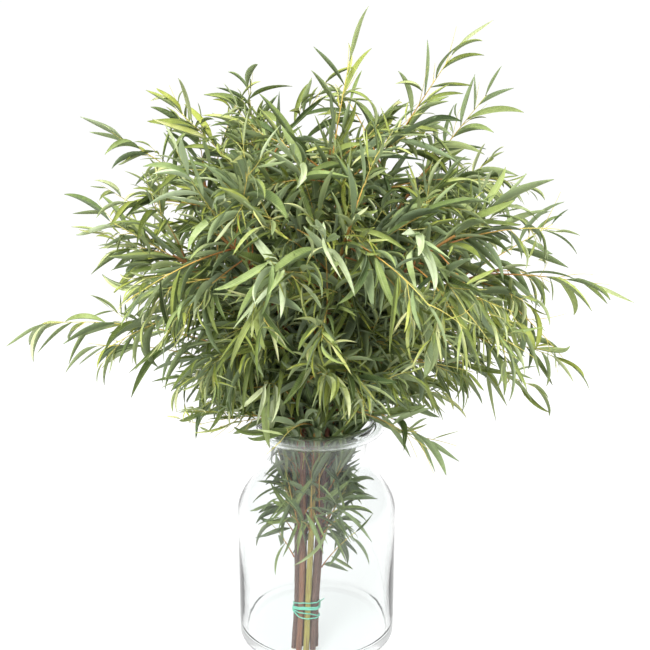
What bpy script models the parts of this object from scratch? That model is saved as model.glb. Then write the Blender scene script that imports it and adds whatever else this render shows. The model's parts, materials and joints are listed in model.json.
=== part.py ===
"""A tied bunch of narrow-leaved eucalyptus branches standing in a clear glass vase.

Metres, +Z up. The middle of the vase's underside is at the origin and the front is -Y. The stems
stand near the front of the vase floor, lean back and fan out above the neck. Each stem carries
sprays: a side twig and its leaves, grown as one closed solid. A leaf or twig that would touch
another piece isn't grown, so every solid stays clear of the rest.
"""

import math
import random
from dataclasses import dataclass

import bmesh
import bpy
from mathutils import Vector
from mathutils.bvhtree import BVHTree

# The vase
VASE_HEIGHT = 0.274
BODY_RADIUS = 0.092
NECK_RADIUS = 0.058
NECK_HEIGHT = 0.2325
SHOULDER_HEIGHT = 0.160
WALL = 0.0035
BASE_THICKNESS = 0.012
FOOT_ROUND = 0.009
INNER_ROUND = 0.004
HEEL = 0.0092
HEEL_HEIGHT = 0.085
LIP_ROUND = 0.0085
LIP_RADIUS = 0.0795
LIP_SEAT_RADIUS = 0.067
VASE_SIDES = 32

# The bundle of stems
GAP = 0.0003
BUNDLE_FOOT = Vector((-0.0135, -0.0575, BASE_THICKNESS))
FOOT_CLEARANCE = 0.0012
BUNDLE_NECK = Vector((-0.004, -0.012, 0.250))
STEM_RADIUS_FOOT = 0.0033
STEM_RADIUS_TIP = 0.0013
CORE_RING = 0.0042
OUTER_RING = 0.0110
TIE_ALONG = 0.19
FOOT_SPREAD = 1.12
NECK_SPREAD = 1.9
LOWER_POINTS = 5
UPPER_POINTS = 9
UPRIGHT_REACH = 0.55

# The tie
TIE_STRAND = 0.0008
TIE_TURNS = 3.5
TIE_PITCH = 0.0042
TIE_POINTS_PER_TURN = 14
TIE_SLACK = 0.0018

# The sprays
TWIG_RADIUS_BASE = 0.0011
TWIG_RADIUS_TIP = 0.0007
TWIGS_PER_STEM = 9
SPRAYS_PER_STEM = 2
TWIG_ORDER = (8, 5, 7, 4, 6, 3, 2, 1, 0)
FIRST_TWIG = 0.10
LAST_TWIG = 0.92
TWIG_LENGTH = (0.105, 0.165)
TWIG_OPENING = math.radians(52)
TWIG_DROOP = 0.22
GOLDEN_TURN = math.radians(137.5)
LEAF_PAIRS = 5
LEAF_SEAT = 0.0016
LEAF_LENGTH = (0.055, 0.080)
LEAF_WIDTH = (0.0075, 0.0100)
LEAF_THICKNESS = 0.0006
LEAF_OPENING = math.radians(42)
LEAF_WIDEST = 0.42
LEAF_DROOP = (0.15, 0.70)
CLEAR_WAY_LOW = Vector((-0.036, 0.012, 0.0))
CLEAR_WAY_HIGH = Vector((0.036, 0.400, 0.335))

UP = Vector((0, 0, 1))


@dataclass(frozen=True)
class Stem:
    """A main stem: its place in the bundle and where its tip ends up."""

    ring: float
    turn_deg: float
    tip: tuple


@dataclass(frozen=True)
class Reach:
    """A side twig with a chosen end: its stem, and where it leaves it, below 0 under the neck."""

    stem: int
    along: float
    end: tuple


STEMS = (
    Stem(OUTER_RING, 0, (0.205, 0.000, 0.445)),
    Stem(OUTER_RING, 40, (0.135, 0.105, 0.550)),
    Stem(OUTER_RING, 80, (0.040, 0.140, 0.545)),
    Stem(OUTER_RING, 120, (-0.080, 0.120, 0.550)),
    Stem(OUTER_RING, 160, (-0.140, 0.060, 0.545)),
    Stem(OUTER_RING, 200, (-0.150, -0.050, 0.470)),
    Stem(OUTER_RING, 240, (-0.095, -0.120, 0.505)),
    Stem(OUTER_RING, 280, (0.035, -0.145, 0.520)),
    Stem(OUTER_RING, 320, (0.140, -0.100, 0.500)),
    Stem(CORE_RING, 60, (0.085, 0.040, 0.580)),
    Stem(CORE_RING, 180, (-0.065, 0.020, 0.580)),
    Stem(CORE_RING, 300, (0.015, -0.050, 0.580)),
)

REACHES = (
    Reach(5, 0.30, (-0.300, -0.020, 0.388)),
    Reach(5, 0.18, (-0.250, 0.015, 0.352)),
    Reach(5, 0.80, (-0.223, -0.010, 0.500)),
    Reach(4, 0.85, (-0.210, 0.020, 0.585)),
    Reach(6, 0.20, (-0.116, -0.080, 0.315)),
    Reach(10, 0.70, (-0.150, 0.000, 0.620)),
    Reach(11, 0.90, (0.035, -0.030, 0.668)),
    Reach(9, 0.95, (0.150, 0.010, 0.682)),
    Reach(1, 0.85, (0.190, 0.060, 0.630)),
    Reach(8, 0.80, (0.192, -0.060, 0.530)),
    Reach(0, 0.75, (0.265, 0.030, 0.490)),
    Reach(0, 0.97, (0.302, -0.010, 0.430)),
    Reach(0, 0.50, (0.275, -0.020, 0.345)),
    Reach(0, 0.32, (0.255, 0.020, 0.300)),
    Reach(8, 0.12, (0.120, -0.055, 0.264)),
    Reach(6, 0.75, (-0.170, -0.110, 0.440)),
    Reach(5, -0.55, (-0.052, -0.040, 0.158)),
    Reach(0, -0.60, (0.046, -0.045, 0.150)),
    Reach(6, -0.35, (-0.034, -0.050, 0.190)),
)


def outer_radius(height):
    """The vase wall's outer radius at a height between its foot and its lip."""
    if height <= SHOULDER_HEIGHT:
        return BODY_RADIUS
    if height <= NECK_HEIGHT:
        rise = (height - SHOULDER_HEIGHT) / (NECK_HEIGHT - SHOULDER_HEIGHT)
        return NECK_RADIUS + (BODY_RADIUS - NECK_RADIUS) * (0.5 + 0.5 * math.cos(math.pi * rise))
    lip_seat = VASE_HEIGHT - 2 * LIP_ROUND
    rise = (height - NECK_HEIGHT) / (lip_seat - NECK_HEIGHT)
    return NECK_RADIUS + (LIP_SEAT_RADIUS - NECK_RADIUS) * rise * rise


def heel_radius(height):
    """The inner wall's radius below the shoulder: the glass thickens towards the floor."""
    rise = min((height - BASE_THICKNESS) / (HEEL_HEIGHT - BASE_THICKNESS), 1)
    return BODY_RADIUS - WALL - HEEL * (1 - rise * rise * (3 - 2 * rise))


def arc(centre, radius, first_deg, last_deg, steps):
    """Points along an arc of the profile, as (radius, height) pairs."""
    angles = [first_deg + (last_deg - first_deg) * i / steps for i in range(steps + 1)]
    return [
        (
            centre[0] + radius * math.cos(math.radians(a)),
            centre[1] + radius * math.sin(math.radians(a)),
        )
        for a in angles
    ]


def vase_profile():
    """The section of the glass, from the middle of the inner floor round to the underside."""
    lip_seat = VASE_HEIGHT - 2 * LIP_ROUND
    heights = [SHOULDER_HEIGHT + (NECK_HEIGHT - SHOULDER_HEIGHT) * i / 5 for i in range(6)]
    heights += [(NECK_HEIGHT + lip_seat) / 2, lip_seat]
    heel_heights = [BASE_THICKNESS + (HEEL_HEIGHT - BASE_THICKNESS) * i / 4 for i in range(1, 5)]
    inner_corner = (heel_radius(BASE_THICKNESS) - INNER_ROUND, BASE_THICKNESS + INNER_ROUND)
    outer_corner = (BODY_RADIUS - FOOT_ROUND, FOOT_ROUND)
    lip_middle = (LIP_RADIUS - LIP_ROUND, VASE_HEIGHT - LIP_ROUND)
    points = [(0, BASE_THICKNESS)]
    points += arc(inner_corner, INNER_ROUND, -90, 0, 3)
    points += [(heel_radius(z), z) for z in heel_heights]
    points += [(outer_radius(z) - WALL, z) for z in heights]
    points += arc(lip_middle, LIP_ROUND, 190, -100, 8)
    points += [(outer_radius(z), z) for z in reversed(heights)]
    points += arc(outer_corner, FOOT_ROUND, 0, -90, 4)
    points += [(0, 0)]
    return points


def bezier(start, bend, end, along):
    """A point on a quadratic curve, along running from 0 to 1."""
    return start.lerp(bend, along).lerp(bend.lerp(end, along), along)


class StemPath:
    """The middle line of one stem, from its cut foot to its tip."""

    def __init__(self, stem):
        axis = BUNDLE_NECK - BUNDLE_FOOT
        across = (Vector((1, 0, 0)) - axis.x * axis / axis.length_squared).normalized()
        back = axis.normalized().cross(across)
        turn = math.radians(stem.turn_deg)
        self.axis = axis
        self.offset = stem.ring * (math.cos(turn) * across + math.sin(turn) * back)
        self.neck = self.lower(1.0)
        self.tip = Vector(stem.tip)
        heading = (self.neck - self.lower(0.8)).normalized()
        self.bend = self.neck + heading * (self.tip - self.neck).length * UPRIGHT_REACH

    def lower(self, along):
        """A point between the foot and the neck, where the bundle is tight at the tie."""
        if along < TIE_ALONG:
            spread = 1 + (FOOT_SPREAD - 1) * (1 - along / TIE_ALONG)
        else:
            spread = 1 + (NECK_SPREAD - 1) * ((along - TIE_ALONG) / (1 - TIE_ALONG)) ** 1.4
        return BUNDLE_FOOT + self.axis * along + self.offset * spread

    def point(self, along):
        """A point of the middle line: 1 is the tip, 0 the neck and -1 the middle of the foot."""
        if along < 0:
            return self.lower(1 + along)
        return bezier(self.neck, self.bend, self.tip, along)

    def heading(self, along):
        """The direction of growth."""
        step = 0.01
        return (self.point(along + step) - self.point(along - step)).normalized()

    def radius(self, along):
        """The stem's radius, which shrinks above the neck."""
        return STEM_RADIUS_FOOT + (STEM_RADIUS_TIP - STEM_RADIUS_FOOT) * max(along, 0)

    def points(self):
        """Every point of the stem with its radius, foot first."""
        foot_height = BASE_THICKNESS + FOOT_CLEARANCE
        first = (foot_height - self.lower(0).z) / self.axis.z
        steps = [first + (1 - first) * i / LOWER_POINTS for i in range(LOWER_POINTS)]
        lower = [(self.lower(t), STEM_RADIUS_FOOT) for t in steps]
        steps = [i / UPPER_POINTS for i in range(UPPER_POINTS + 1)]
        return lower + [(self.point(t), self.radius(t)) for t in steps]


@dataclass
class Twig:
    """A side twig's curve: it leaves its stem at start and arches over to end."""

    start: Vector
    bend: Vector
    end: Vector
    seed: int

    def point(self, along):
        """A point on the twig's middle line."""
        return bezier(self.start, self.bend, self.end, along)

    def heading(self, along):
        """The direction of growth, which lies along the curve."""
        step = 0.01
        return (self.point(along + step) - self.point(along - step)).normalized()


def leave_stem(path, along, direction):
    """The point beside a stem where a twig that grows towards direction starts."""
    heading = path.heading(along)
    side = (direction - direction.dot(heading) * heading).normalized()
    clearance = path.radius(along) + GAP + 1.3 * TWIG_RADIUS_BASE
    return path.point(along) + side * clearance


def side_twig(path, stem_number, twig_number):
    """One of a stem's side twigs, spaced round it by the golden angle."""
    seed = 100 * stem_number + twig_number
    rng = random.Random(seed)
    along = FIRST_TWIG + (LAST_TWIG - FIRST_TWIG) * twig_number / (TWIGS_PER_STEM - 1)
    heading = path.heading(along)
    across = heading.cross(UP).normalized()
    other = heading.cross(across)
    turn = GOLDEN_TURN * twig_number + stem_number
    side = math.cos(turn) * across + math.sin(turn) * other
    direction = math.cos(TWIG_OPENING) * heading + math.sin(TWIG_OPENING) * side
    start = leave_stem(path, along, direction)
    length = rng.uniform(*TWIG_LENGTH)
    bend = start + direction * length / 2
    end = start + direction * length - UP * length * TWIG_DROOP
    return Twig(start, bend, end, seed)


def reaching_twig(path, reach, seed):
    """A twig that ends at a chosen point outside the crown."""
    end = Vector(reach.end)
    towards = end - path.point(reach.along)
    direction = (towards.normalized() + 0.5 * path.heading(reach.along)).normalized()
    start = leave_stem(path, reach.along, direction)
    return Twig(start, start + direction * towards.length / 2, end, seed)


def in_clear_way(points):
    """True if any point lies in the way left open behind the stems and over the back of the lip."""
    return any(
        all(CLEAR_WAY_LOW[i] < p[i] < CLEAR_WAY_HIGH[i] for i in range(3)) for p in points
    )


class Spray:
    """A twig with leaves in opposite pairs, made by extruding one closed mesh."""

    def __init__(self, twig, solids):
        self.twig = twig
        self.solids = solids
        self.bm = bmesh.new()
        self.rng = random.Random(twig.seed)
        self.hint = twig.heading(0).orthogonal().normalized()
        self.leaves = []

    def corners(self, along, radius):
        """The four corners of the twig's section."""
        heading = self.twig.heading(along)
        side = (self.hint - self.hint.dot(heading) * heading).normalized()
        other = heading.cross(side)
        middle = self.twig.point(along)
        return [middle + radius * v for v in (side, other, -side, -other)]

    def extrude_to(self, face, places):
        """Extrude a face, put its corners at the given places and return the new end face."""
        result = bmesh.ops.extrude_discrete_faces(self.bm, faces=[face])
        end = result["faces"][0]
        for vert, place in zip(end.verts, places):
            vert.co = place
        return end

    def stretches(self):
        """Where the twig's sections are: its ends, and two for each pair of leaves."""
        length = (self.twig.end - self.twig.start).length
        seat = LEAF_SEAT / length
        places = [0.0]
        for pair in range(LEAF_PAIRS):
            middle = 0.22 + 0.68 * pair / (LEAF_PAIRS - 1)
            places += [middle - seat, middle + seat]
        return places + [1.0]

    def radius(self, along):
        """The twig's radius."""
        return TWIG_RADIUS_BASE + (TWIG_RADIUS_TIP - TWIG_RADIUS_BASE) * along

    def twig_faces(self):
        """Make the twig and return the face at its end and the side faces by stretch."""
        places = self.stretches()
        verts = [self.bm.verts.new(c) for c in self.corners(0, self.radius(0))]
        end = self.bm.faces.new(verts)
        sides = []
        for along in places[1:]:
            before = set(self.bm.faces)
            end = self.extrude_to(end, self.corners(along, self.radius(along)))
            sides.append([f for f in self.bm.faces if f not in before and f is not end])
        self.bm.faces.new(list(reversed(verts)))
        return end, places, sides

    def leaf_sections(self, seat, heading, outward):
        """The corners of a leaf at its widest place and its tip, for a seat of four corners."""
        opening = LEAF_OPENING * self.rng.uniform(0.7, 1.2)
        length = self.rng.uniform(*LEAF_LENGTH)
        width = self.rng.uniform(*LEAF_WIDTH)
        droop = self.rng.uniform(*LEAF_DROOP)
        base = sum(seat, Vector()) / 4
        first = math.cos(opening) * heading + math.sin(opening) * outward
        last = (first - droop * UP).normalized()
        middle = base + first * length * LEAF_WIDEST
        tip = middle + last * length * (1 - LEAF_WIDEST)
        blade = (first + last).normalized()
        along = (heading - heading.dot(blade) * blade).normalized()
        thick = blade.cross(along)
        widest = []
        for corner in seat:
            step = corner - base
            wide = math.copysign(width / 2, step.dot(heading))
            deep = math.copysign(LEAF_THICKNESS / 2, step.dot(thick))
            widest.append(middle + along * wide + thick * deep)
        return widest, tip

    def grow_leaf(self, face, heading, outward):
        """Extrude a leaf from a face of the twig if it touches nothing."""
        seat = [v.co.copy() for v in face.verts]
        widest, tip = self.leaf_sections(seat, heading, outward)
        self.add_blade(face, seat, widest, tip)

    def add_blade(self, face, seat, widest, tip):
        """Extrude a face to the blade's widest place and its tip, if it touches nothing there."""
        base = sum(seat, Vector()) / 4
        near = [corner.lerp(wide, 0.06) for corner, wide in zip(seat, widest)]
        walls = [(i, (i + 1) % 4, 4 + (i + 1) % 4, 4 + i) for i in range(4)]
        point = [(4 + i, 4 + (i + 1) % 4, 8) for i in range(4)]
        blade = BVHTree.FromPolygons([*near, *widest, tip], walls + point)
        if in_clear_way([base, *widest, tip]):
            return
        if any(blade.overlap(solid) for solid in self.solids + self.leaves):
            return
        self.leaves.append(blade)
        end = self.extrude_to(face, widest)
        self.extrude_to(end, [tip] * 4)

    def grow(self):
        """Make the whole spray, or nothing if its twig would touch another piece."""
        end, places, sides = self.twig_faces()
        twig_tree = BVHTree.FromBMesh(self.bm)
        if any(twig_tree.overlap(solid) for solid in self.solids):
            return False
        if in_clear_way([self.twig.point(t / 8) for t in range(9)]):
            return False
        for pair in range(LEAF_PAIRS):
            stretch = 1 + 2 * pair
            along = (places[stretch] + places[stretch + 1]) / 2
            middle = self.twig.point(along)
            heading = self.twig.heading(along)
            faces = sorted(sides[stretch], key=lambda f: f.calc_center_median().dot(self.hint))
            chosen = (faces[0], faces[-1]) if pair % 2 else (faces[1], faces[2])
            for face in chosen:
                outward = (face.calc_center_median() - middle).normalized()
                self.grow_leaf(face, heading, outward)
        self.grow_tip(end)
        bmesh.ops.remove_doubles(self.bm, verts=self.bm.verts, dist=0.00001)
        bmesh.ops.recalc_face_normals(self.bm, faces=self.bm.faces)
        return True

    def grow_tip(self, end):
        """Grow the leaf at the twig's end, straight on from it."""
        heading = self.twig.heading(1.0)
        seat = [v.co.copy() for v in end.verts]
        base = sum(seat, Vector()) / 4
        length = LEAF_LENGTH[0]
        widest = []
        for corner in seat:
            step = corner - base
            width = LEAF_WIDTH[0] / 2 * step.dot(self.hint) / step.length
            widest.append(base + heading * length * LEAF_WIDEST + self.hint * width + step * 0.4)
        tip = base + (heading - 0.15 * UP) * length
        self.add_blade(end, seat, widest, tip)


def material(name, colour, roughness, transmission=0.0):
    """A Principled material with the finish of one kind of piece."""
    made = bpy.data.materials.new(name)
    made.use_nodes = True
    shader = made.node_tree.nodes["Principled BSDF"]
    shader.inputs["Base Color"].default_value = (*colour, 1)
    shader.inputs["Roughness"].default_value = roughness
    shader.inputs["Transmission Weight"].default_value = transmission
    return made


def add_object(name, data, finish, collection):
    """Put a mesh or curve in the collection as a named piece."""
    made = bpy.data.objects.new(name, data)
    made.data.materials.append(finish)
    collection.objects.link(made)
    return made


def make_vase(collection, finish):
    """The glass vase, turned from its profile."""
    mesh = bpy.data.meshes.new("glass_vase")
    points = vase_profile()
    edges = [(i, i + 1) for i in range(len(points) - 1)]
    mesh.from_pydata([(r, 0, z) for r, z in points], edges, [])
    vase = add_object("glass_vase", mesh, finish, collection)
    screw = vase.modifiers.new("turned", "SCREW")
    screw.steps = screw.render_steps = VASE_SIDES
    screw.use_merge_vertices = True
    screw.merge_threshold = 0.0001
    return vase


def make_tube(name, points, bevel_resolution, finish, collection):
    """A round bar through points, each with its radius."""
    curve = bpy.data.curves.new(name, "CURVE")
    curve.dimensions = "3D"
    curve.bevel_depth = 1.0
    curve.bevel_resolution = bevel_resolution
    curve.use_fill_caps = True
    spline = curve.splines.new("POLY")
    spline.points.add(len(points) - 1)
    for place, (point, radius) in zip(spline.points, points):
        place.co = (*point, 1)
        place.radius = radius
    return add_object(name, curve, finish, collection)


def tie_points():
    """The elastic's middle line: a helix wound close round the bundle."""
    axis = BUNDLE_NECK - BUNDLE_FOOT
    along_axis = axis.normalized()
    across = (Vector((1, 0, 0)) - axis.x * axis / axis.length_squared).normalized()
    back = along_axis.cross(across)
    radius = OUTER_RING + STEM_RADIUS_FOOT + TIE_STRAND + TIE_SLACK
    middle = BUNDLE_FOOT + axis * TIE_ALONG
    count = int(TIE_TURNS * TIE_POINTS_PER_TURN)
    points = []
    for i in range(count + 1):
        turn = math.tau * i / TIE_POINTS_PER_TURN
        rise = TIE_PITCH * (i / TIE_POINTS_PER_TURN - TIE_TURNS / 2)
        outward = math.cos(turn) * across + math.sin(turn) * back
        points.append((middle + along_axis * rise + radius * outward, TIE_STRAND))
    return points


def faces_tree(mesh):
    """A mesh's faces, for telling whether another piece touches them."""
    places = [vert.co.copy() for vert in mesh.vertices]
    faces = [tuple(polygon.vertices) for polygon in mesh.polygons]
    return BVHTree.FromPolygons(places, faces)


def solid_tree(piece):
    """The faces of a piece with its modifiers or curve made into a mesh."""
    graph = bpy.context.evaluated_depsgraph_get()
    evaluated = piece.evaluated_get(graph)
    tree = faces_tree(evaluated.to_mesh())
    evaluated.to_mesh_clear()
    return tree


def add_spray(name, twig, solids, collection, finish):
    """Add a spray if there is room for it, and return whether it was added."""
    spray = Spray(twig, solids)
    if not spray.grow():
        spray.bm.free()
        return False
    mesh = bpy.data.meshes.new(name)
    spray.bm.to_mesh(mesh)
    spray.bm.free()
    add_object(name, mesh, finish, collection)
    solids.append(faces_tree(mesh))
    return True


def main():
    """Build every piece of the bunch and its vase."""
    for old in list(bpy.data.objects):
        bpy.data.objects.remove(old)
    collection = bpy.data.collections.new("eucalyptus_bunch")
    bpy.context.scene.collection.children.link(collection)
    glass = material("clear_glass", (0.86, 0.93, 0.91), 0.03, transmission=1.0)
    bark = material("stem_bark", (0.28, 0.14, 0.08), 0.62)
    leaf = material("leaf_green", (0.20, 0.32, 0.13), 0.48)
    elastic = material("mint_elastic", (0.33, 0.82, 0.64), 0.45)

    pieces = [make_vase(collection, glass)]
    pieces.append(make_tube("tie", tie_points(), 2, elastic, collection))
    paths = [StemPath(stem) for stem in STEMS]
    for number, path in enumerate(paths, 1):
        pieces.append(make_tube(f"stem_{number:02d}", path.points(), 1, bark, collection))
    bpy.context.view_layer.update()
    solids = [solid_tree(piece) for piece in pieces]

    for number, reach in enumerate(REACHES, 1):
        twig = reaching_twig(paths[reach.stem], reach, 5000 + number)
        if not add_spray(f"reaching_spray_{number:02d}", twig, solids, collection, leaf):
            print("no room for reaching spray", number)
    for stem_number, path in enumerate(paths, 1):
        added = 0
        for twig_number in TWIG_ORDER:
            twig = side_twig(path, stem_number, twig_number)
            name = f"spray_{stem_number:02d}_{twig_number + 1}"
            if added < SPRAYS_PER_STEM and add_spray(name, twig, solids, collection, leaf):
                added += 1


main()
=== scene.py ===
"""The looks of a tied bunch of narrow-leaved eucalyptus branches in a clear glass vase.

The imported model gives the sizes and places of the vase, the tie and the stems. Each stem carries
side shoots and each shoot its leaves, grown here by the rule that the frame's own sprays follow,
with every leaf that the branch has. Units are metres, +Z is up and the front faces -Y.
"""

import json
import logging
import math
import random
from dataclasses import dataclass, field
from enum import Enum
from typing import Any, Iterable, Sequence

import bmesh
import bpy
from mathutils import Matrix, Quaternion, Vector

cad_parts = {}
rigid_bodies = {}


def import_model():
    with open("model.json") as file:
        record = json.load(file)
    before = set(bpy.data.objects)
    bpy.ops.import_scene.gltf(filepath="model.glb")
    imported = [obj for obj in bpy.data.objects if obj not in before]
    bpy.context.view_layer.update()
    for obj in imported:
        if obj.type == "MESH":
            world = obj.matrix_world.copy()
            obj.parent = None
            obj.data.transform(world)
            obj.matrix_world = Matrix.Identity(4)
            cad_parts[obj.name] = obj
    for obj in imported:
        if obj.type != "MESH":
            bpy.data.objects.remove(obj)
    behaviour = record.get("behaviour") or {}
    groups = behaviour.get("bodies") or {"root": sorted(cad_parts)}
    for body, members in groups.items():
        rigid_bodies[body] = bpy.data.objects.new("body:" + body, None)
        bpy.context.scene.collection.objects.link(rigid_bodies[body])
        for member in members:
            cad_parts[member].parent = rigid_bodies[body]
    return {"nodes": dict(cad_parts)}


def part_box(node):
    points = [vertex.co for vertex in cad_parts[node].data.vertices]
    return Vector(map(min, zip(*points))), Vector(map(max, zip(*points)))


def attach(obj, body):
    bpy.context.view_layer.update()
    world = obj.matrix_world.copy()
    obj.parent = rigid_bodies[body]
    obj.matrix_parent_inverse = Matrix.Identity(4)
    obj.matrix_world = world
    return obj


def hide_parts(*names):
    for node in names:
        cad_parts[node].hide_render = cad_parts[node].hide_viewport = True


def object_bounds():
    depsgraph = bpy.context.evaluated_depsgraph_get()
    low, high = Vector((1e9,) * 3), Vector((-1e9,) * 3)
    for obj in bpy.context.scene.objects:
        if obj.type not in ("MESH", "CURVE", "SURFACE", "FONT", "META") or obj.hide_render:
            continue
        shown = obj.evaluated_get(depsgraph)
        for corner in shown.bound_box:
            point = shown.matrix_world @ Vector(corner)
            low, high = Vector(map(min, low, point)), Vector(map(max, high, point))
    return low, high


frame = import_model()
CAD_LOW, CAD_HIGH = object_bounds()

LOG = logging.getLogger("eucalyptus_bunch")
UP = Vector((0, 0, 1))
GOLDEN_TURN = math.radians(137.5)
HEADING_STEP = 0.01
LAST_HEADING = 0.98
REACH_SEED = 5000
DRAPED_SEED = 6000
LEADER_SEED = 9000
SPRIG_SEED = 100000
SPRIG_DRAW_SEED = 60000
Colour = tuple[float, float, float]


def spaced(first: float, last: float, steps: int) -> list[float]:
    """Return even steps from first to last, both of them included."""
    return [first + (last - first) * i / steps for i in range(steps + 1)]


def clamp(value: float, low: float, high: float) -> float:
    """Keep a value between low and high."""
    return min(max(value, low), high)


def swung(first: Vector, second: Vector, angle: float) -> Vector:
    """Turn from the first direction towards the second by an angle."""
    return math.cos(angle) * first + math.sin(angle) * second


# --------------------------------------------------------------------------------------------
# Node trees
# --------------------------------------------------------------------------------------------


class Graph:
    """A node tree being built, with short calls to add its nodes and link them."""

    def __init__(self, tree: bpy.types.NodeTree) -> None:
        """Start building in an empty tree."""
        self.tree = tree

    def node(self, kind: str, inputs: dict[str, Any] | None = None, **settings: Any) -> bpy.types.Node:
        """Add a node.

        Args:
            kind: The node's type name.
            inputs: A value or an output socket for each input, by identifier or name.
            **settings: The node's own properties.

        Returns:
            The new node.
        """
        made = self.tree.nodes.new(kind)
        for name, value in settings.items():
            setattr(made, name, value)
        self.feed(made, inputs or {})
        return made

    def feed(self, node: bpy.types.Node, inputs: dict[str, Any]) -> None:
        """Give each named input of a node its value, or link an output socket to it."""
        for name, value in inputs.items():
            by_identifier = [s for s in node.inputs if s.identifier == name]
            socket = by_identifier[0] if by_identifier else node.inputs[name]
            if isinstance(value, bpy.types.NodeSocket):
                self.tree.links.new(value, socket)
            else:
                socket.default_value = value

    def math(self, operation: str, first: Any, second: Any = 0.0, clamp: bool = False) -> Any:
        """Add a Math node.

        Args:
            operation: The operation's name, such as MULTIPLY.
            first: A number or an output socket.
            second: A number or an output socket.
            clamp: True to keep the result between 0 and 1.

        Returns:
            The node's output socket.
        """
        inputs = {"Value": first, "Value_001": second}
        made = self.node("ShaderNodeMath", inputs, operation=operation, use_clamp=clamp)
        return made.outputs["Value"]

    def times(self, first: Any, second: Any) -> Any:
        """Multiply two values."""
        return self.math("MULTIPLY", first, second)

    def swing(self, value: Any, reach: Any) -> Any:
        """Turn a value from 0 to 1 into one that swings by reach around 0."""
        return self.times(self.math("SUBTRACT", value, 0.5), reach)

    def smooth(
        self, value: Any, low: float, high: float, first: float = 0.0, last: float = 1.0
    ) -> Any:
        """Ease a value from first to last as it goes from low to high.

        Args:
            value: The output socket that varies.
            low: Where the change starts.
            high: Where the change ends.
            first: The result at low.
            last: The result at high.

        Returns:
            The eased value's output socket.
        """
        inputs = {"Value": value, "From Min": low, "From Max": high, "To Min": first, "To Max": last}
        made = self.node("ShaderNodeMapRange", inputs, interpolation_type="SMOOTHSTEP")
        return made.outputs["Result"]

    def blend(self, factor: Any, first: Any, second: Any, mode: str = "MIX") -> Any:
        """Mix two colours.

        Args:
            factor: How much of the second colour shows.
            first: A colour or an output socket.
            second: A colour or an output socket.
            mode: The way the two are mixed.

        Returns:
            The colour's output socket.
        """
        inputs = {"Factor_Float": factor, "A_Color": rgba(first), "B_Color": rgba(second)}
        made = self.node("ShaderNodeMix", inputs, data_type="RGBA", blend_type=mode)
        return next(s for s in made.outputs if s.identifier == "Result_Color")

    def ramp(self, factor: Any, stops: Sequence[tuple[float, Colour]]) -> Any:
        """Add a colour ramp.

        Args:
            factor: The output socket that picks the colour.
            stops: Each stop's place and colour.

        Returns:
            The colour's output socket.
        """
        made = self.node("ShaderNodeValToRGB", {"Fac": factor})
        elements = made.color_ramp.elements
        while len(elements) < len(stops):
            elements.new(0.5)
        for element, (place, colour) in zip(elements, stops):
            element.position = place
            element.color = (*colour, 1.0)
        return made.outputs["Color"]

    def attribute(self, name: str, output: str = "Fac") -> Any:
        """Read a mesh attribute's value, vector or colour."""
        return self.node("ShaderNodeAttribute", attribute_name=name).outputs[output]

    def bump(self, height: Any, distance: float, strength: float) -> Any:
        """Add a bump and return its normal."""
        inputs = {"Height": height, "Distance": distance, "Strength": strength}
        return self.node("ShaderNodeBump", inputs).outputs["Normal"]

    def show_mixed(self, share: Any, first: bpy.types.Node, second: bpy.types.Node) -> None:
        """Show two shaders on the surface, the second one by its share."""
        inputs = {"Fac": share, "Shader": first.outputs["BSDF"], "Shader_001": second.outputs["BSDF"]}
        mixed = self.node("ShaderNodeMixShader", inputs).outputs["Shader"]
        self.feed(self.tree.nodes["Material Output"], {"Surface": mixed})


def rgba(colour: Any) -> Any:
    """Add an alpha of 1 to a plain colour, and leave a socket as it is."""
    return colour if isinstance(colour, bpy.types.NodeSocket) else (*colour, 1.0)


def new_group(name: str, kind: str, inputs: dict[str, str], outputs: dict[str, str]) -> Graph:
    """Make an empty node group with named sockets.

    Args:
        name: The group's name.
        kind: ShaderNodeTree or GeometryNodeTree.
        inputs: The socket type of each input, by name.
        outputs: The socket type of each output, by name.

    Returns:
        The graph of the new group.
    """
    tree = bpy.data.node_groups.new(name, kind)
    for socket, socket_type in inputs.items():
        tree.interface.new_socket(socket, in_out="INPUT", socket_type=socket_type)
    for socket, socket_type in outputs.items():
        tree.interface.new_socket(socket, in_out="OUTPUT", socket_type=socket_type)
    return Graph(tree)


# --------------------------------------------------------------------------------------------
# Effects that several finishes share
# --------------------------------------------------------------------------------------------


def mottle_group() -> bpy.types.NodeTree:
    """Build the group of uneven patches, big ones broken up by small ones.

    Returns:
        The group, whose Mask goes from 0 to 1.
    """
    sockets = {"Vector": "NodeSocketVector", "Scale": "NodeSocketFloat", "Breakup": "NodeSocketFloat"}
    graph = new_group("mottle", "ShaderNodeTree", sockets, {"Mask": "NodeSocketFloat"})
    given = graph.node("NodeGroupInput").outputs
    patches = {"Vector": given["Vector"], "Scale": given["Scale"], "Detail": 2.0}
    big = graph.node("ShaderNodeTexNoise", patches).outputs["Fac"]
    fine_scale = graph.times(given["Scale"], 6.3)
    specks = {"Vector": given["Vector"], "Scale": fine_scale, "Detail": 3.0}
    fine = graph.node("ShaderNodeTexNoise", specks).outputs["Fac"]
    uneven = graph.swing(fine, given["Breakup"])
    mask = graph.smooth(graph.math("ADD", big, uneven), 0.32, 0.68)
    graph.node("NodeGroupOutput", {"Mask": mask})
    return graph.tree


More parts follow.
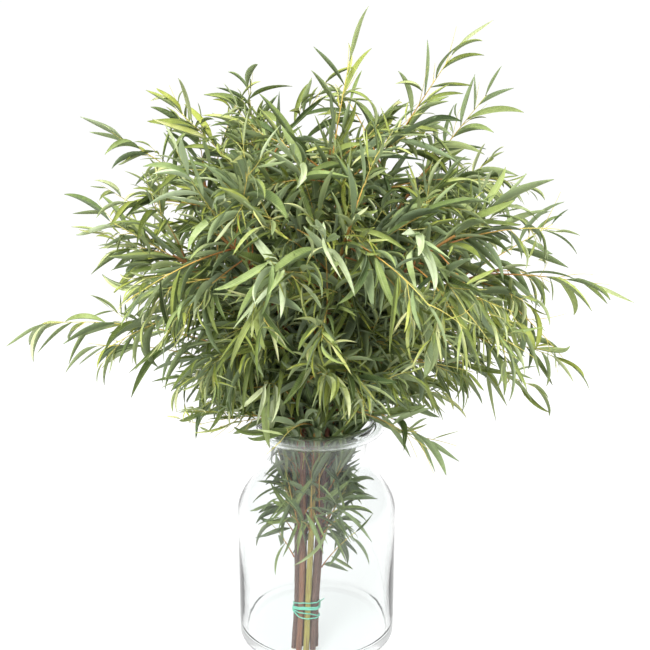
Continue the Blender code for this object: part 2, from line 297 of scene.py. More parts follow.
def streak_group() -> bpy.types.NodeTree:
    """Build the group of streaks that run along a shoot, a stem or a strand.

    Returns:
        The group. Streak is the long grain, and Fleck the short marks on it.
    """
    sockets = {
        "Ring": "NodeSocketVector",
        "Along": "NodeSocketFloat",
        "Fineness": "NodeSocketFloat",
        "Stretch": "NodeSocketFloat",
    }
    outputs = {"Streak": "NodeSocketFloat", "Fleck": "NodeSocketFloat"}
    graph = new_group("length_streaks", "ShaderNodeTree", sockets, outputs)
    given = graph.node("NodeGroupInput").outputs
    inputs = {"Vector": given["Ring"], "Scale": given["Fineness"]}
    scaled = graph.node("ShaderNodeVectorMath", inputs, operation="SCALE")
    length = graph.times(given["Along"], given["Stretch"])
    offset = graph.node("ShaderNodeCombineXYZ", {"Z": length}).outputs["Vector"]
    inputs = {"Vector": scaled.outputs["Vector"], "Vector_001": offset}
    place = graph.node("ShaderNodeVectorMath", inputs, operation="ADD").outputs["Vector"]
    grain = graph.node("ShaderNodeTexNoise", {"Vector": place, "Scale": 1.0, "Detail": 4.0})
    marks = graph.node("ShaderNodeTexVoronoi", {"Vector": place, "Scale": 1.7, "Randomness": 1.0})
    fleck = graph.smooth(marks.outputs["Distance"], 0.10, 0.26, 1.0, 0.0)
    streak = graph.smooth(grain.outputs["Fac"], 0.30, 0.70)
    graph.node("NodeGroupOutput", {"Streak": streak, "Fleck": fleck})
    return graph.tree


@dataclass(frozen=True)
class Effects:
    """The shader groups that the finishes share."""

    mottle: bpy.types.NodeTree
    streaks: bpy.types.NodeTree

    @classmethod
    def build(cls) -> "Effects":
        """Build each group once."""
        return cls(mottle_group(), streak_group())

    def patches(self, graph: Graph, vector: Any, scale: float, breakup: float) -> Any:
        """Place the shared patches and return their mask."""
        inputs = {"Vector": vector, "Scale": scale, "Breakup": breakup}
        return graph.node("ShaderNodeGroup", inputs, node_tree=self.mottle).outputs["Mask"]

    def lengthwise(self, graph: Graph, fineness: float, stretch: float) -> tuple[Any, Any]:
        """Place the shared streaks along a swept piece.

        Args:
            graph: The material's graph.
            fineness: How narrow the streaks are round the piece.
            stretch: How short they are along it.

        Returns:
            The streaks' and the flecks' output sockets.
        """
        inputs = {
            "Ring": graph.attribute("shoot_ring", "Vector"),
            "Along": graph.attribute("shoot_along"),
            "Fineness": fineness,
            "Stretch": stretch,
        }
        made = graph.node("ShaderNodeGroup", inputs, node_tree=self.streaks)
        return made.outputs["Streak"], made.outputs["Fleck"]


def new_material(name: str) -> tuple[Graph, bpy.types.Node, bpy.types.Material]:
    """Make a material with an empty Principled shader.

    Args:
        name: The material's name.

    Returns:
        Its graph, its shader node and the material.
    """
    material = bpy.data.materials.new(name)
    material.use_nodes = True
    graph = Graph(material.node_tree)
    return graph, material.node_tree.nodes["Principled BSDF"], material


# --------------------------------------------------------------------------------------------
# Finishes
# --------------------------------------------------------------------------------------------


class LeafTone(Enum):
    """The tones of a bunch's leaves, each as a cool and a warm colour, from shaded to pale ones: the
    deep and shaded tones serve largely as painted shade in the crown's core, the pale ones partly as
    painted light at its outside.
    """

    DEEP = ((0.013, 0.028, 0.013), (0.022, 0.030, 0.006))
    SHADED = ((0.066, 0.120, 0.052), (0.098, 0.130, 0.020))
    FULL = ((0.190, 0.274, 0.100), (0.262, 0.304, 0.044))
    FRESH = ((0.372, 0.484, 0.222), (0.480, 0.525, 0.092))
    PALE = ((0.640, 0.740, 0.510), (0.740, 0.740, 0.370))


TONE_PLACES = (0.0, 0.25, 0.50, 0.76, 1.0)


@dataclass(frozen=True)
class LeafFinish:
    """A leathery leaf: a pale midrib, fine side veins, a thin bloom and a duller underside."""

    roughness: float = 0.46
    underside_roughness: float = 0.62
    midrib_width: float = 0.045
    midrib: Colour = (0.560, 0.640, 0.300)
    underside: Colour = (0.340, 0.430, 0.260)
    rim: Colour = (0.400, 0.430, 0.120)
    glow: Colour = (0.420, 0.560, 0.110)
    glow_share: float = 0.22

    def build(self, effects: Effects) -> bpy.types.Material:
        """Build the leaf's material.

        Args:
            effects: The shared shader groups.

        Returns:
            The material, which reads the blade's own map and attributes.
        """
        graph, shader, material = new_material("eucalyptus_leaf")
        blade = graph.node("ShaderNodeUVMap", uv_map="blade").outputs["UV"]
        parts = graph.node("ShaderNodeSeparateXYZ", {"Vector": blade}).outputs
        from_rib = graph.math("ABSOLUTE", graph.math("SUBTRACT", parts["X"], 0.5))
        coordinates = graph.node("ShaderNodeTexCoord").outputs["Object"]
        patches = effects.patches(graph, coordinates, 38.0, 0.5)
        # The leaf's tone attribute carries painted shade deep in the crown and painted light at its
        # edge, along with the leaf's own random tone.
        depth = graph.math("ADD", graph.attribute("leaf_tint"), graph.swing(patches, 0.16), clamp=True)
        cool, warm = (
            graph.ramp(depth, [(place, tone.value[side]) for place, tone in zip(TONE_PLACES, LeafTone)])
            for side in (0, 1)
        )
        colour = graph.blend(graph.attribute("leaf_warmth"), cool, warm)
        veins = self.side_veins(graph, parts, from_rib)
        colour = graph.blend(graph.times(veins, 0.16), colour, self.midrib)
        under = graph.attribute("underside")
        colour = graph.blend(graph.times(under, 0.55), colour, self.underside)
        rib = graph.smooth(from_rib, self.midrib_width * 0.4, self.midrib_width * 1.6, 0.62, 0.0)
        colour = graph.blend(rib, colour, self.midrib)
        edge = graph.smooth(from_rib, 0.455, 0.5, 0.0, 0.20)
        colour = graph.blend(edge, colour, self.rim)
        span = self.underside_roughness - self.roughness
        rough = graph.math("ADD", graph.times(under, span), self.roughness)
        rough = graph.math("ADD", rough, graph.swing(patches, 0.14))
        height = graph.math("ADD", graph.times(veins, 0.35), graph.times(rib, 0.9))
        normal = graph.bump(height, 0.0004, 0.55)
        look = {"Base Color": colour, "Roughness": rough, "Normal": normal, "Specular IOR Level": 0.42}
        graph.feed(shader, look)
        warm_glow = {"Color": graph.blend(0.55, colour, self.glow)}
        graph.show_mixed(self.glow_share, shader, graph.node("ShaderNodeBsdfTranslucent", warm_glow))
        return material

    @staticmethod
    def side_veins(graph: Graph, parts: Any, from_rib: Any) -> Any:
        """Draw fine veins that leave the midrib at a slant towards the tip.

        Args:
            graph: The material's graph.
            parts: The blade map's coordinates, across and along.
            from_rib: The distance from the midrib.

        Returns:
            The veins' mask.
        """
        slant = graph.math("SUBTRACT", graph.times(parts["Y"], 26.0), graph.times(from_rib, 5.0))
        return graph.smooth(graph.math("SINE", graph.times(slant, math.tau)), 0.55, 1.0)


@dataclass(frozen=True)
class ShootFinish:
    """Thin green wood that turns from copper at its foot to yellow-green at its end."""

    roughness: float = 0.50
    foot: Colour = (0.360, 0.120, 0.040)
    middle: Colour = (0.580, 0.350, 0.080)
    end: Colour = (0.600, 0.580, 0.150)
    shade: Colour = (0.180, 0.070, 0.035)

    def build(self, effects: Effects) -> bpy.types.Material:
        """Build the shoot's material.

        Args:
            effects: The shared shader groups.

        Returns:
            The material.
        """
        graph, shader, material = new_material("young_shoot")
        streak, fleck = effects.lengthwise(graph, 2.2, 160.0)
        age = graph.math("ADD", graph.attribute("shoot_age"), graph.swing(streak, 0.3), clamp=True)
        colour = graph.ramp(age, [(0.0, self.foot), (0.45, self.middle), (1.0, self.end)])
        colour = graph.blend(graph.times(fleck, 0.4), colour, self.shade)
        rough = graph.smooth(streak, 0.0, 1.0, self.roughness - 0.08, self.roughness + 0.12)
        normal = graph.bump(streak, 0.0003, 0.5)
        graph.feed(shader, {"Base Color": colour, "Roughness": rough, "Normal": normal})
        return material


@dataclass(frozen=True)
class BarkFinish:
    """The smooth bark of a cut stem, from yellow-green through copper to mauve-brown."""

    roughness: float = 0.58
    yellow: Colour = (0.400, 0.350, 0.085)
    copper: Colour = (0.270, 0.120, 0.066)
    mauve: Colour = (0.150, 0.090, 0.072)
    red: Colour = (0.240, 0.062, 0.024)
    groove: Colour = (0.070, 0.035, 0.025)
    cut_wood: Colour = (0.620, 0.520, 0.330)

    def build(self, effects: Effects) -> bpy.types.Material:
        """Build the bark's material.

        Args:
            effects: The shared shader groups.

        Returns:
            The material.
        """
        graph, shader, material = new_material("stem_bark")
        along = graph.attribute("shoot_along")
        streak, fleck = effects.lengthwise(graph, 3.0, 55.0)
        hue = graph.math("ADD", graph.attribute("stem_hue"), graph.swing(streak, 0.28), clamp=True)
        colour = graph.ramp(hue, [(0.0, self.yellow), (0.35, self.copper), (0.8, self.mauve)])
        colour = graph.blend(graph.smooth(along, 0.10, 0.30, 0.0, 0.7), colour, self.red)
        colour = graph.blend(graph.smooth(along, 0.38, 0.62, 0.0, 0.6), colour, ShootFinish.middle)
        colour = graph.blend(graph.smooth(streak, 0.55, 1.0, 0.0, 0.35), colour, self.groove)
        colour = graph.blend(graph.times(fleck, 0.35), colour, self.cut_wood)
        colour = graph.blend(graph.smooth(along, 0.0002, 0.0008, 1.0, 0.0), colour, self.cut_wood)
        rough = graph.smooth(streak, 0.0, 1.0, self.roughness - 0.10, self.roughness + 0.16)
        normal = graph.bump(graph.math("ADD", streak, graph.times(fleck, 0.6)), 0.0006, 0.7)
        graph.feed(shader, {"Base Color": colour, "Roughness": rough, "Normal": normal})
        return material


@dataclass(frozen=True)
class ElasticFinish:
    """Mint-green elastic string with a satin face and fine length grain."""

    mint: Colour = (0.150, 0.590, 0.400)
    light: Colour = (0.300, 0.740, 0.560)
    roughness: float = 0.42

    def build(self, effects: Effects) -> bpy.types.Material:
        """Build the elastic's material.

        Args:
            effects: The shared shader groups.

        Returns:
            The material.
        """
        graph, shader, material = new_material("mint_elastic")
        streak, _ = effects.lengthwise(graph, 4.0, 220.0)
        colour = graph.blend(graph.times(streak, 0.6), self.mint, self.light)
        rough = graph.smooth(streak, 0.0, 1.0, self.roughness - 0.06, self.roughness + 0.14)
        normal = graph.bump(streak, 0.0002, 0.4)
        look = {"Base Color": colour, "Roughness": rough, "Normal": normal, "Subsurface Weight": 0.15}
        graph.feed(shader, look)
        return material


@dataclass(frozen=True)
class GlassFinish:
    """Clear blown glass, faintly grey-green where it is thick, with a slight unevenness."""

    tint: Colour = (0.952, 0.970, 0.966)
    roughness: float = 0.015
    refraction: float = 1.50
    ripple: float = 0.12

    def build(self, effects: Effects) -> bpy.types.Material:
        """Build the glass, which lets lamp light through to what stands in it.

        Args:
            effects: The shared shader groups.

        Returns:
            The material.
        """
        graph, shader, material = new_material("clear_glass")
        coordinates = graph.node("ShaderNodeTexCoord").outputs["Object"]
        mask = effects.patches(graph, coordinates, 14.0, 0.2)
        look = {
            "Base Color": rgba(self.tint),
            "IOR": self.refraction,
            "Transmission Weight": 1.0,
            "Roughness": graph.smooth(mask, 0.0, 1.0, self.roughness * 0.4, self.roughness * 1.6),
            "Normal": graph.bump(mask, 0.0004, self.ripple),
        }
        graph.feed(shader, look)
        to_lamps = graph.node("ShaderNodeLightPath").outputs["Is Shadow Ray"]
        clear = graph.node("ShaderNodeBsdfTransparent", {"Color": rgba(self.tint)})
        graph.show_mixed(to_lamps, shader, clear)
        return material


# --------------------------------------------------------------------------------------------
# Growth: how the frame's stems and side twigs run
# --------------------------------------------------------------------------------------------


@dataclass(frozen=True)
class Stem:
    """A main stem: its place in the bundle, where its tip ends up and the hue of its bark."""

    ring: float
    turn_deg: float
    tip: tuple[float, float, float]
    hue: float


@dataclass(frozen=True)
class Reach:
    """A side twig with a chosen end: its stem, and where it leaves it, below 0 under the neck."""

    stem: int
    along: float
    end: tuple[float, float, float]


@dataclass(frozen=True)
class Bundle:
    """The sizes of the bundle of stems."""

    foot: Vector = field(default_factory=lambda: Vector((-0.0135, -0.0575, 0.012)))
    neck: Vector = field(default_factory=lambda: Vector((-0.004, -0.012, 0.250)))
    foot_clearance: float = 0.0012
    radius_foot: float = 0.0033
    radius_tip: float = 0.0013
    core_ring: float = 0.0042
    outer_ring: float = 0.0110
    tie_along: float = 0.19
    foot_spread: float = 1.12
    neck_spread: float = 1.9
    upright_reach: float = 0.55

    @property
    def axis(self) -> Vector:
        """The line from the middle of the foot to the neck."""
        return self.neck - self.foot

    @property
    def across(self) -> Vector:
        """The bundle's own left to right."""
        return (Vector((1, 0, 0)) - self.axis.x * self.axis / self.axis.length_squared).normalized()

    @property
    def back(self) -> Vector:
        """The bundle's own front to back."""
        return self.axis.normalized().cross(self.across)


BUNDLE = Bundle()

STEMS = (
    Stem(BUNDLE.outer_ring, 0, (0.205, 0.000, 0.445), 0.70),
    Stem(BUNDLE.outer_ring, 40, (0.135, 0.105, 0.550), 0.85),
    Stem(BUNDLE.outer_ring, 80, (0.040, 0.140, 0.545), 0.60),
    Stem(BUNDLE.outer_ring, 120, (-0.080, 0.120, 0.550), 0.90),
    Stem(BUNDLE.outer_ring, 160, (-0.140, 0.060, 0.545), 0.75),
    Stem(BUNDLE.outer_ring, 200, (-0.150, -0.050, 0.470), 0.88),
    Stem(BUNDLE.outer_ring, 240, (-0.095, -0.120, 0.505), 0.42),
    Stem(BUNDLE.outer_ring, 280, (0.035, -0.145, 0.520), 0.02),
    Stem(BUNDLE.outer_ring, 320, (0.140, -0.100, 0.500), 0.80),
    Stem(BUNDLE.core_ring, 60, (0.085, 0.040, 0.580), 0.50),
    Stem(BUNDLE.core_ring, 180, (-0.065, 0.020, 0.580), 0.65),
    Stem(BUNDLE.core_ring, 300, (0.015, -0.050, 0.580), 0.30),
)

REACHES = (
    Reach(5, 0.30, (-0.300, -0.020, 0.388)),
    Reach(5, 0.18, (-0.250, 0.015, 0.352)),
    Reach(5, 0.80, (-0.223, -0.010, 0.500)),
    Reach(4, 0.85, (-0.210, 0.020, 0.585)),
    Reach(6, 0.20, (-0.116, -0.080, 0.315)),
    Reach(10, 0.70, (-0.150, 0.000, 0.620)),
    Reach(11, 0.90, (0.035, -0.030, 0.668)),
    Reach(9, 0.95, (0.150, 0.010, 0.682)),
    Reach(1, 0.85, (0.190, 0.060, 0.630)),
    Reach(8, 0.80, (0.192, -0.060, 0.530)),
    Reach(0, 0.75, (0.265, 0.030, 0.490)),
    Reach(0, 0.97, (0.302, -0.010, 0.430)),
    Reach(0, 0.50, (0.275, -0.020, 0.345)),
    Reach(0, 0.32, (0.255, 0.020, 0.300)),
    Reach(8, 0.12, (0.120, -0.055, 0.264)),
    Reach(6, 0.75, (-0.170, -0.110, 0.440)),
    Reach(5, -0.55, (-0.052, -0.040, 0.158)),
    Reach(0, -0.60, (0.046, -0.045, 0.150)),
    Reach(6, -0.35, (-0.034, -0.050, 0.190)),
)


def bezier(start: Vector, bend: Vector, end: Vector, along: float) -> Vector:
    """Return a point on a quadratic curve, with along running from 0 to 1."""
    return start.lerp(bend, along).lerp(bend.lerp(end, along), along)


class MiddleLine:
    """A line that wood grows along."""

    def point(self, along: float) -> Vector:
        """Return a point on the line."""
        raise NotImplementedError

    def heading(self, along: float) -> Vector:
        """Return the direction of growth."""
        return (self.point(along + HEADING_STEP) - self.point(along - HEADING_STEP)).normalized()


class StemPath(MiddleLine):
    """The middle line of one stem, from its cut foot to its tip."""

    def __init__(self, stem: Stem) -> None:
        """Work out the stem's place in the bundle and the way it bends to its tip."""
        turn = math.radians(stem.turn_deg)
        self.stem = stem
        self.offset = stem.ring * swung(BUNDLE.across, BUNDLE.back, turn)
        self.neck = self.lower(1.0)
        self.tip = Vector(stem.tip)
        heading = (self.neck - self.lower(0.8)).normalized()
        self.bend = self.neck + heading * (self.tip - self.neck).length * BUNDLE.upright_reach

    def lower(self, along: float) -> Vector:
        """Return a point between the foot and the neck, where the bundle is tight at the tie."""
        if along < BUNDLE.tie_along:
            spread = 1 + (BUNDLE.foot_spread - 1) * (1 - along / BUNDLE.tie_along)
        else:
            opened = (along - BUNDLE.tie_along) / (1 - BUNDLE.tie_along)
            spread = 1 + (BUNDLE.neck_spread - 1) * opened**1.4
        return BUNDLE.foot + BUNDLE.axis * along + self.offset * spread

    def point(self, along: float) -> Vector:
        """Return a point of the middle line: 1 is the tip, 0 the neck and -1 the foot."""
        if along < 0:
            return self.lower(1 + along)
        return bezier(self.neck, self.bend, self.tip, along)

    def radius(self, along: float) -> float:
        """Return the stem's radius, which shrinks above the neck."""
        return BUNDLE.radius_foot + (BUNDLE.radius_tip - BUNDLE.radius_foot) * max(along, 0)

    def foot_along(self) -> float:
        """Return where the cut foot is, just clear of the vase's floor."""
        height = BUNDLE.foot.z + BUNDLE.foot_clearance
        return (height - self.lower(0).z) / BUNDLE.axis.z - 1


class ShootKind(Enum):
    """Where a shoot grows, which sets its habit."""

    SIDE = "side"
    REACH = "reach"
    FILL = "fill"
    COLLAR = "collar"
    INSIDE = "inside"
    LEADER = "leader"
    SPRIG = "sprig"
    DRAPED = "draped"


@dataclass(frozen=True)
class Habit:
    """How leaves sit on one kind of shoot."""

    leaf_gap: float
    leaf_length: tuple[float, float]
    leaf_width: tuple[float, float]
    opening_deg: tuple[float, float]
    hang: tuple[float, float]
    first_leaf: float
    paleness: float
    in_crown: bool = True


HABITS = {
    ShootKind.SIDE: Habit(
        0.0085, (0.044, 0.084), (0.052, 0.098), (22, 60), (0.00, 0.55), 0.08, 0.00
    ),
    ShootKind.REACH: Habit(
        0.0105, (0.048, 0.076), (0.070, 0.105), (26, 60), (0.10, 0.70), 0.26, 0.04, False
    ),
    ShootKind.FILL: Habit(
        0.0080, (0.040, 0.078), (0.048, 0.094), (20, 66), (0.00, 0.60), 0.06, 0.00
    ),
    ShootKind.COLLAR: Habit(
        0.0075, (0.044, 0.070), (0.070, 0.110), (10, 50), (-0.20, 0.30), 0.05, -0.10, False
    ),
    ShootKind.INSIDE: Habit(
        0.0075, (0.038, 0.062), (0.065, 0.105), (12, 75), (0.10, 1.00), 0.06, -0.12, False
    ),
    ShootKind.LEADER: Habit(
        0.0090, (0.048, 0.080), (0.052, 0.090), (22, 50), (0.00, 0.30), 0.20, 0.04
    ),
    ShootKind.SPRIG: Habit(
        0.0048, (0.020, 0.044), (0.045, 0.080), (18, 58), (0.00, 0.45), 0.12, 0.22
    ),
    ShootKind.DRAPED: Habit(
        0.0060, (0.056, 0.080), (0.095, 0.130), (20, 60), (0.50, 1.50), 0.72, 0.36, False
    ),
}


@dataclass(frozen=True)
class ShootRule:
    """How many free shoots of one kind a stem has, and how they leave it."""

    kind: ShootKind
    count: int
    along: tuple[float, float]
    opening_deg: tuple[float, float]
    length: tuple[float, float]
    droop: tuple[float, float]
    spread: float
    first_seed: int
    outer_only: bool = False


FREE_SHOOTS = (
    ShootRule(
        ShootKind.FILL, 14, (0.05, 0.97), (30, 78), (0.060, 0.130), (0.05, 0.40), math.pi, 20000
    ),
    ShootRule(
        ShootKind.COLLAR, 12, (-0.46, 0.20), (6, 32), (0.050, 0.100), (0.00, 0.10), 2.4, 40000
    ),
    ShootRule(
        ShootKind.INSIDE, 5, (-0.46, -0.08), (20, 50), (0.016, 0.040), (0.10, 0.40), 1.2, 30000, True
    ),
)

DRAPED_SHOOTS = (
    Reach(7, 0.50, (0.008, -0.205, 0.520)),
    Reach(7, 0.35, (-0.040, -0.195, 0.494)),
    Reach(6, 0.60, (-0.118, -0.150, 0.565)),
    Reach(8, 0.60, (0.100, -0.180, 0.515)),
    Reach(6, 0.12, (-0.052, -0.120, 0.352)),
    Reach(11, 0.60, (-0.020, -0.150, 0.585)),
)


@dataclass(frozen=True)
class Crown:
    """The rounded space that the leaves of the crown fill, open at the bottom over the neck."""

    middle: float = 0.460
    half_width: float = 0.230
    rise: float = 0.172
    drop: float = 0.215
    squareness: float = 2.5
    front_floor: float = 0.262
    front_slope: float = 0.35
    raggedness: float = 0.12

    def depth(self, point: Vector) -> float:
        """Return 0 at the crown's middle and 1 at its edge."""
        height = abs(point.z - self.middle) / (self.rise if point.z > self.middle else self.drop)
        out = math.hypot(point.x, point.y) / self.half_width
        return (height**self.squareness + out**self.squareness) ** (1 / self.squareness)

    def holds(self, point: Vector, rng: random.Random) -> bool:
        """Tell whether a leaf's tip is in the crown, whose edge is ragged."""
        if point.z < self.front_floor + self.front_slope * max(-point.y, 0.0):
            return False
        return self.depth(point) < 1 + rng.gauss(0, self.raggedness)


@dataclass
class Shoot(MiddleLine):
    """A leafy shoot's middle line: it starts on its stem and arches over to its end."""

    start: Vector
    bend: Vector
    end: Vector
    seed: int
    kind: ShootKind

    @classmethod
    def drooping(
        cls, start: Vector, direction: Vector, length: float, droop: float, seed: int, kind: ShootKind
    ) -> "Shoot":
        """Make a shoot that sets out in a direction and sinks on its way.

        Args:
            start: Where it starts.
            direction: The way it sets out.
            length: How long it is.
            droop: How far its end sinks, as a share of its length.
            seed: The shoot's seed.
            kind: Where it grows.

        Returns:
            The shoot.
        """
        end = start + direction * length - UP * length * droop
        return cls(start, start + direction * length / 2, end, seed, kind)

    def point(self, along: float) -> Vector:
        """Return a point on the middle line."""
        return bezier(self.start, self.bend, self.end, along)

    @property
    def length(self) -> float:
        """The shoot's length, near enough."""
        legs = (self.bend - self.start, self.end - self.start, self.end - self.bend)
        return sum(leg.length * 0.5 for leg in legs)


@dataclass(frozen=True)
class Growth:
    """The rule by which a stem grows its shoots."""

    per_stem: int = 9
    first: float = 0.10
    last: float = 0.92
    length: tuple[float, float] = (0.105, 0.165)
    opening: float = math.radians(52)
    droop: float = 0.22
    clearance: float = 0.00173
    follow_stem: float = 0.5
    sprigs: int = 3
    sprig_length: tuple[float, float] = (0.020, 0.044)
    sprig_opening_deg: tuple[float, float] = (18, 52)
    sprig_droop: tuple[float, float] = (-0.25, 0.25)
    first_sprig: float = 0.45
    leader_start: float = 0.45

    def seat(self, path: StemPath, along: float, direction: Vector) -> Vector:
        """Return the point beside a stem where a shoot in that direction starts."""
        heading = path.heading(along)
        side = (direction - direction.dot(heading) * heading).normalized()
        return path.point(along) + side * (path.radius(along) + self.clearance)

    def side(self, path: StemPath, stem_number: int, number: int) -> Shoot:
        """Grow one of a stem's side shoots, spaced round it by the golden angle.

        Args:
            path: The stem's middle line.
            stem_number: The stem's number, from 1.
            number: The shoot's number, from 0.

        Returns:
            The shoot.
        """
        seed = 100 * stem_number + number
        rng = random.Random(seed)
        along = self.first + (self.last - self.first) * number / (self.per_stem - 1)
        heading = path.heading(along)
        across = heading.cross(UP).normalized()
        other = heading.cross(across)
        side = swung(across, other, GOLDEN_TURN * number + stem_number)
        direction = swung(heading, side, self.opening)
        start = self.seat(path, along, direction)
        length = rng.uniform(*self.length)
        return Shoot.drooping(start, direction, length, self.droop, seed, ShootKind.SIDE)

    def reach(self, path: StemPath, reach: Reach, seed: int) -> Shoot:
        """Grow a shoot to a chosen end.

        Args:
            path: The stem's middle line.
            reach: Where the shoot leaves its stem and where it ends.
            seed: The shoot's seed.

        Returns:
            The shoot.
        """
        end = Vector(reach.end)
        towards = end - path.point(reach.along)
        direction = towards.normalized() + self.follow_stem * path.heading(reach.along)
        direction.normalize()
        start = self.seat(path, reach.along, direction)
        kind = ShootKind.INSIDE if reach.along < 0 else ShootKind.REACH
        return Shoot(start, start + direction * towards.length / 2, end, seed, kind)

    def draped(self, path: StemPath, reach: Reach, seed: int) -> Shoot:
        """Grow a shoot whose large pale leaves hang in a tuft from its end."""
        shoot = self.reach(path, reach, seed)
        shoot.kind = ShootKind.DRAPED
        return shoot

    def free(self, path: StemPath, rule: ShootRule, number: int, seed: int) -> Shoot:
        """Grow a shoot that fills the crown, the collar over the vase's mouth or the neck.

        Args:
            path: The stem's middle line.
            rule: How shoots of this kind leave the stem.
            number: The shoot's number, which spaces it along the stem.
            seed: The shoot's seed.

        Returns:
            The shoot.
        """
        rng = random.Random(seed)
        first, last = rule.along
        along = first + (last - first) * (number + rng.random()) / rule.count
        heading = path.heading(along)
        outward = (path.offset - path.offset.dot(heading) * heading).normalized()
        outward = Quaternion(heading, rng.uniform(-rule.spread, rule.spread)) @ outward
        direction = swung(heading, outward, math.radians(rng.uniform(*rule.opening_deg)))
        start = self.seat(path, along, direction)
        length = rng.uniform(*rule.length)
        return Shoot.drooping(start, direction, length, rng.uniform(*rule.droop), seed, rule.kind)

    def sprigs_of(self, shoot: Shoot) -> list[Shoot]:
        """Grow the small fresh twigs on the outer half of a shoot."""
        rng = random.Random(SPRIG_DRAW_SEED + shoot.seed)
        found = []
        for number in range(self.sprigs):
            span = 1 - self.first_sprig
            along = self.first_sprig + span * (number + rng.random()) / self.sprigs
            heading = shoot.heading(min(along, LAST_HEADING))
            side = Quaternion(heading, rng.uniform(0, math.tau)) @ heading.orthogonal().normalized()
            direction = swung(heading, side, math.radians(rng.uniform(*self.sprig_opening_deg)))
            length = rng.uniform(*self.sprig_length)
            droop = -rng.uniform(*self.sprig_droop)
            seed = SPRIG_SEED + 10 * shoot.seed + number
            start = shoot.point(along)
            found.append(Shoot.drooping(start, direction, length, droop, seed, ShootKind.SPRIG))
        return found

    def leader(self, path: StemPath, stem_number: int) -> Shoot:
        """Return the stem's own end as a shoot, for the leaves that sit on it."""
        start, end = path.point(self.leader_start), path.point(1.0)
        bend = 2 * path.point((self.leader_start + 1) / 2) - (start + end) / 2
        return Shoot(start, bend, end, LEADER_SEED + stem_number, ShootKind.LEADER)

    def shoots(self, number: int, path: StemPath) -> list[Shoot]:
        """List a stem's shoots.

        Args:
            number: The stem's number, from 1.
            path: The stem's middle line.

        Returns:
            The shoots, the frame's own ones first.
        """
        found = [
            self.reach(path, reach, REACH_SEED + place)
            for place, reach in enumerate(REACHES, 1)
            if reach.stem == number - 1
        ]
        found += [
            self.draped(path, reach, DRAPED_SEED + place)
            for place, reach in enumerate(DRAPED_SHOOTS, 1)
            if reach.stem == number - 1
        ]
        found += [self.side(path, number, i) for i in range(self.per_stem)]
        for rule in FREE_SHOOTS:
            if path.stem.ring == BUNDLE.outer_ring or not rule.outer_only:
                first = rule.first_seed + 100 * number
                found += [self.free(path, rule, i, first + i) for i in range(rule.count)]
        fresh = (ShootKind.SIDE, ShootKind.REACH, ShootKind.FILL)
        bearing = [shoot for shoot in found if shoot.kind in fresh]
        found += [sprig for shoot in bearing for sprig in self.sprigs_of(shoot)]
        return found + [self.leader(path, number)]


# --------------------------------------------------------------------------------------------
# The vase
# --------------------------------------------------------------------------------------------


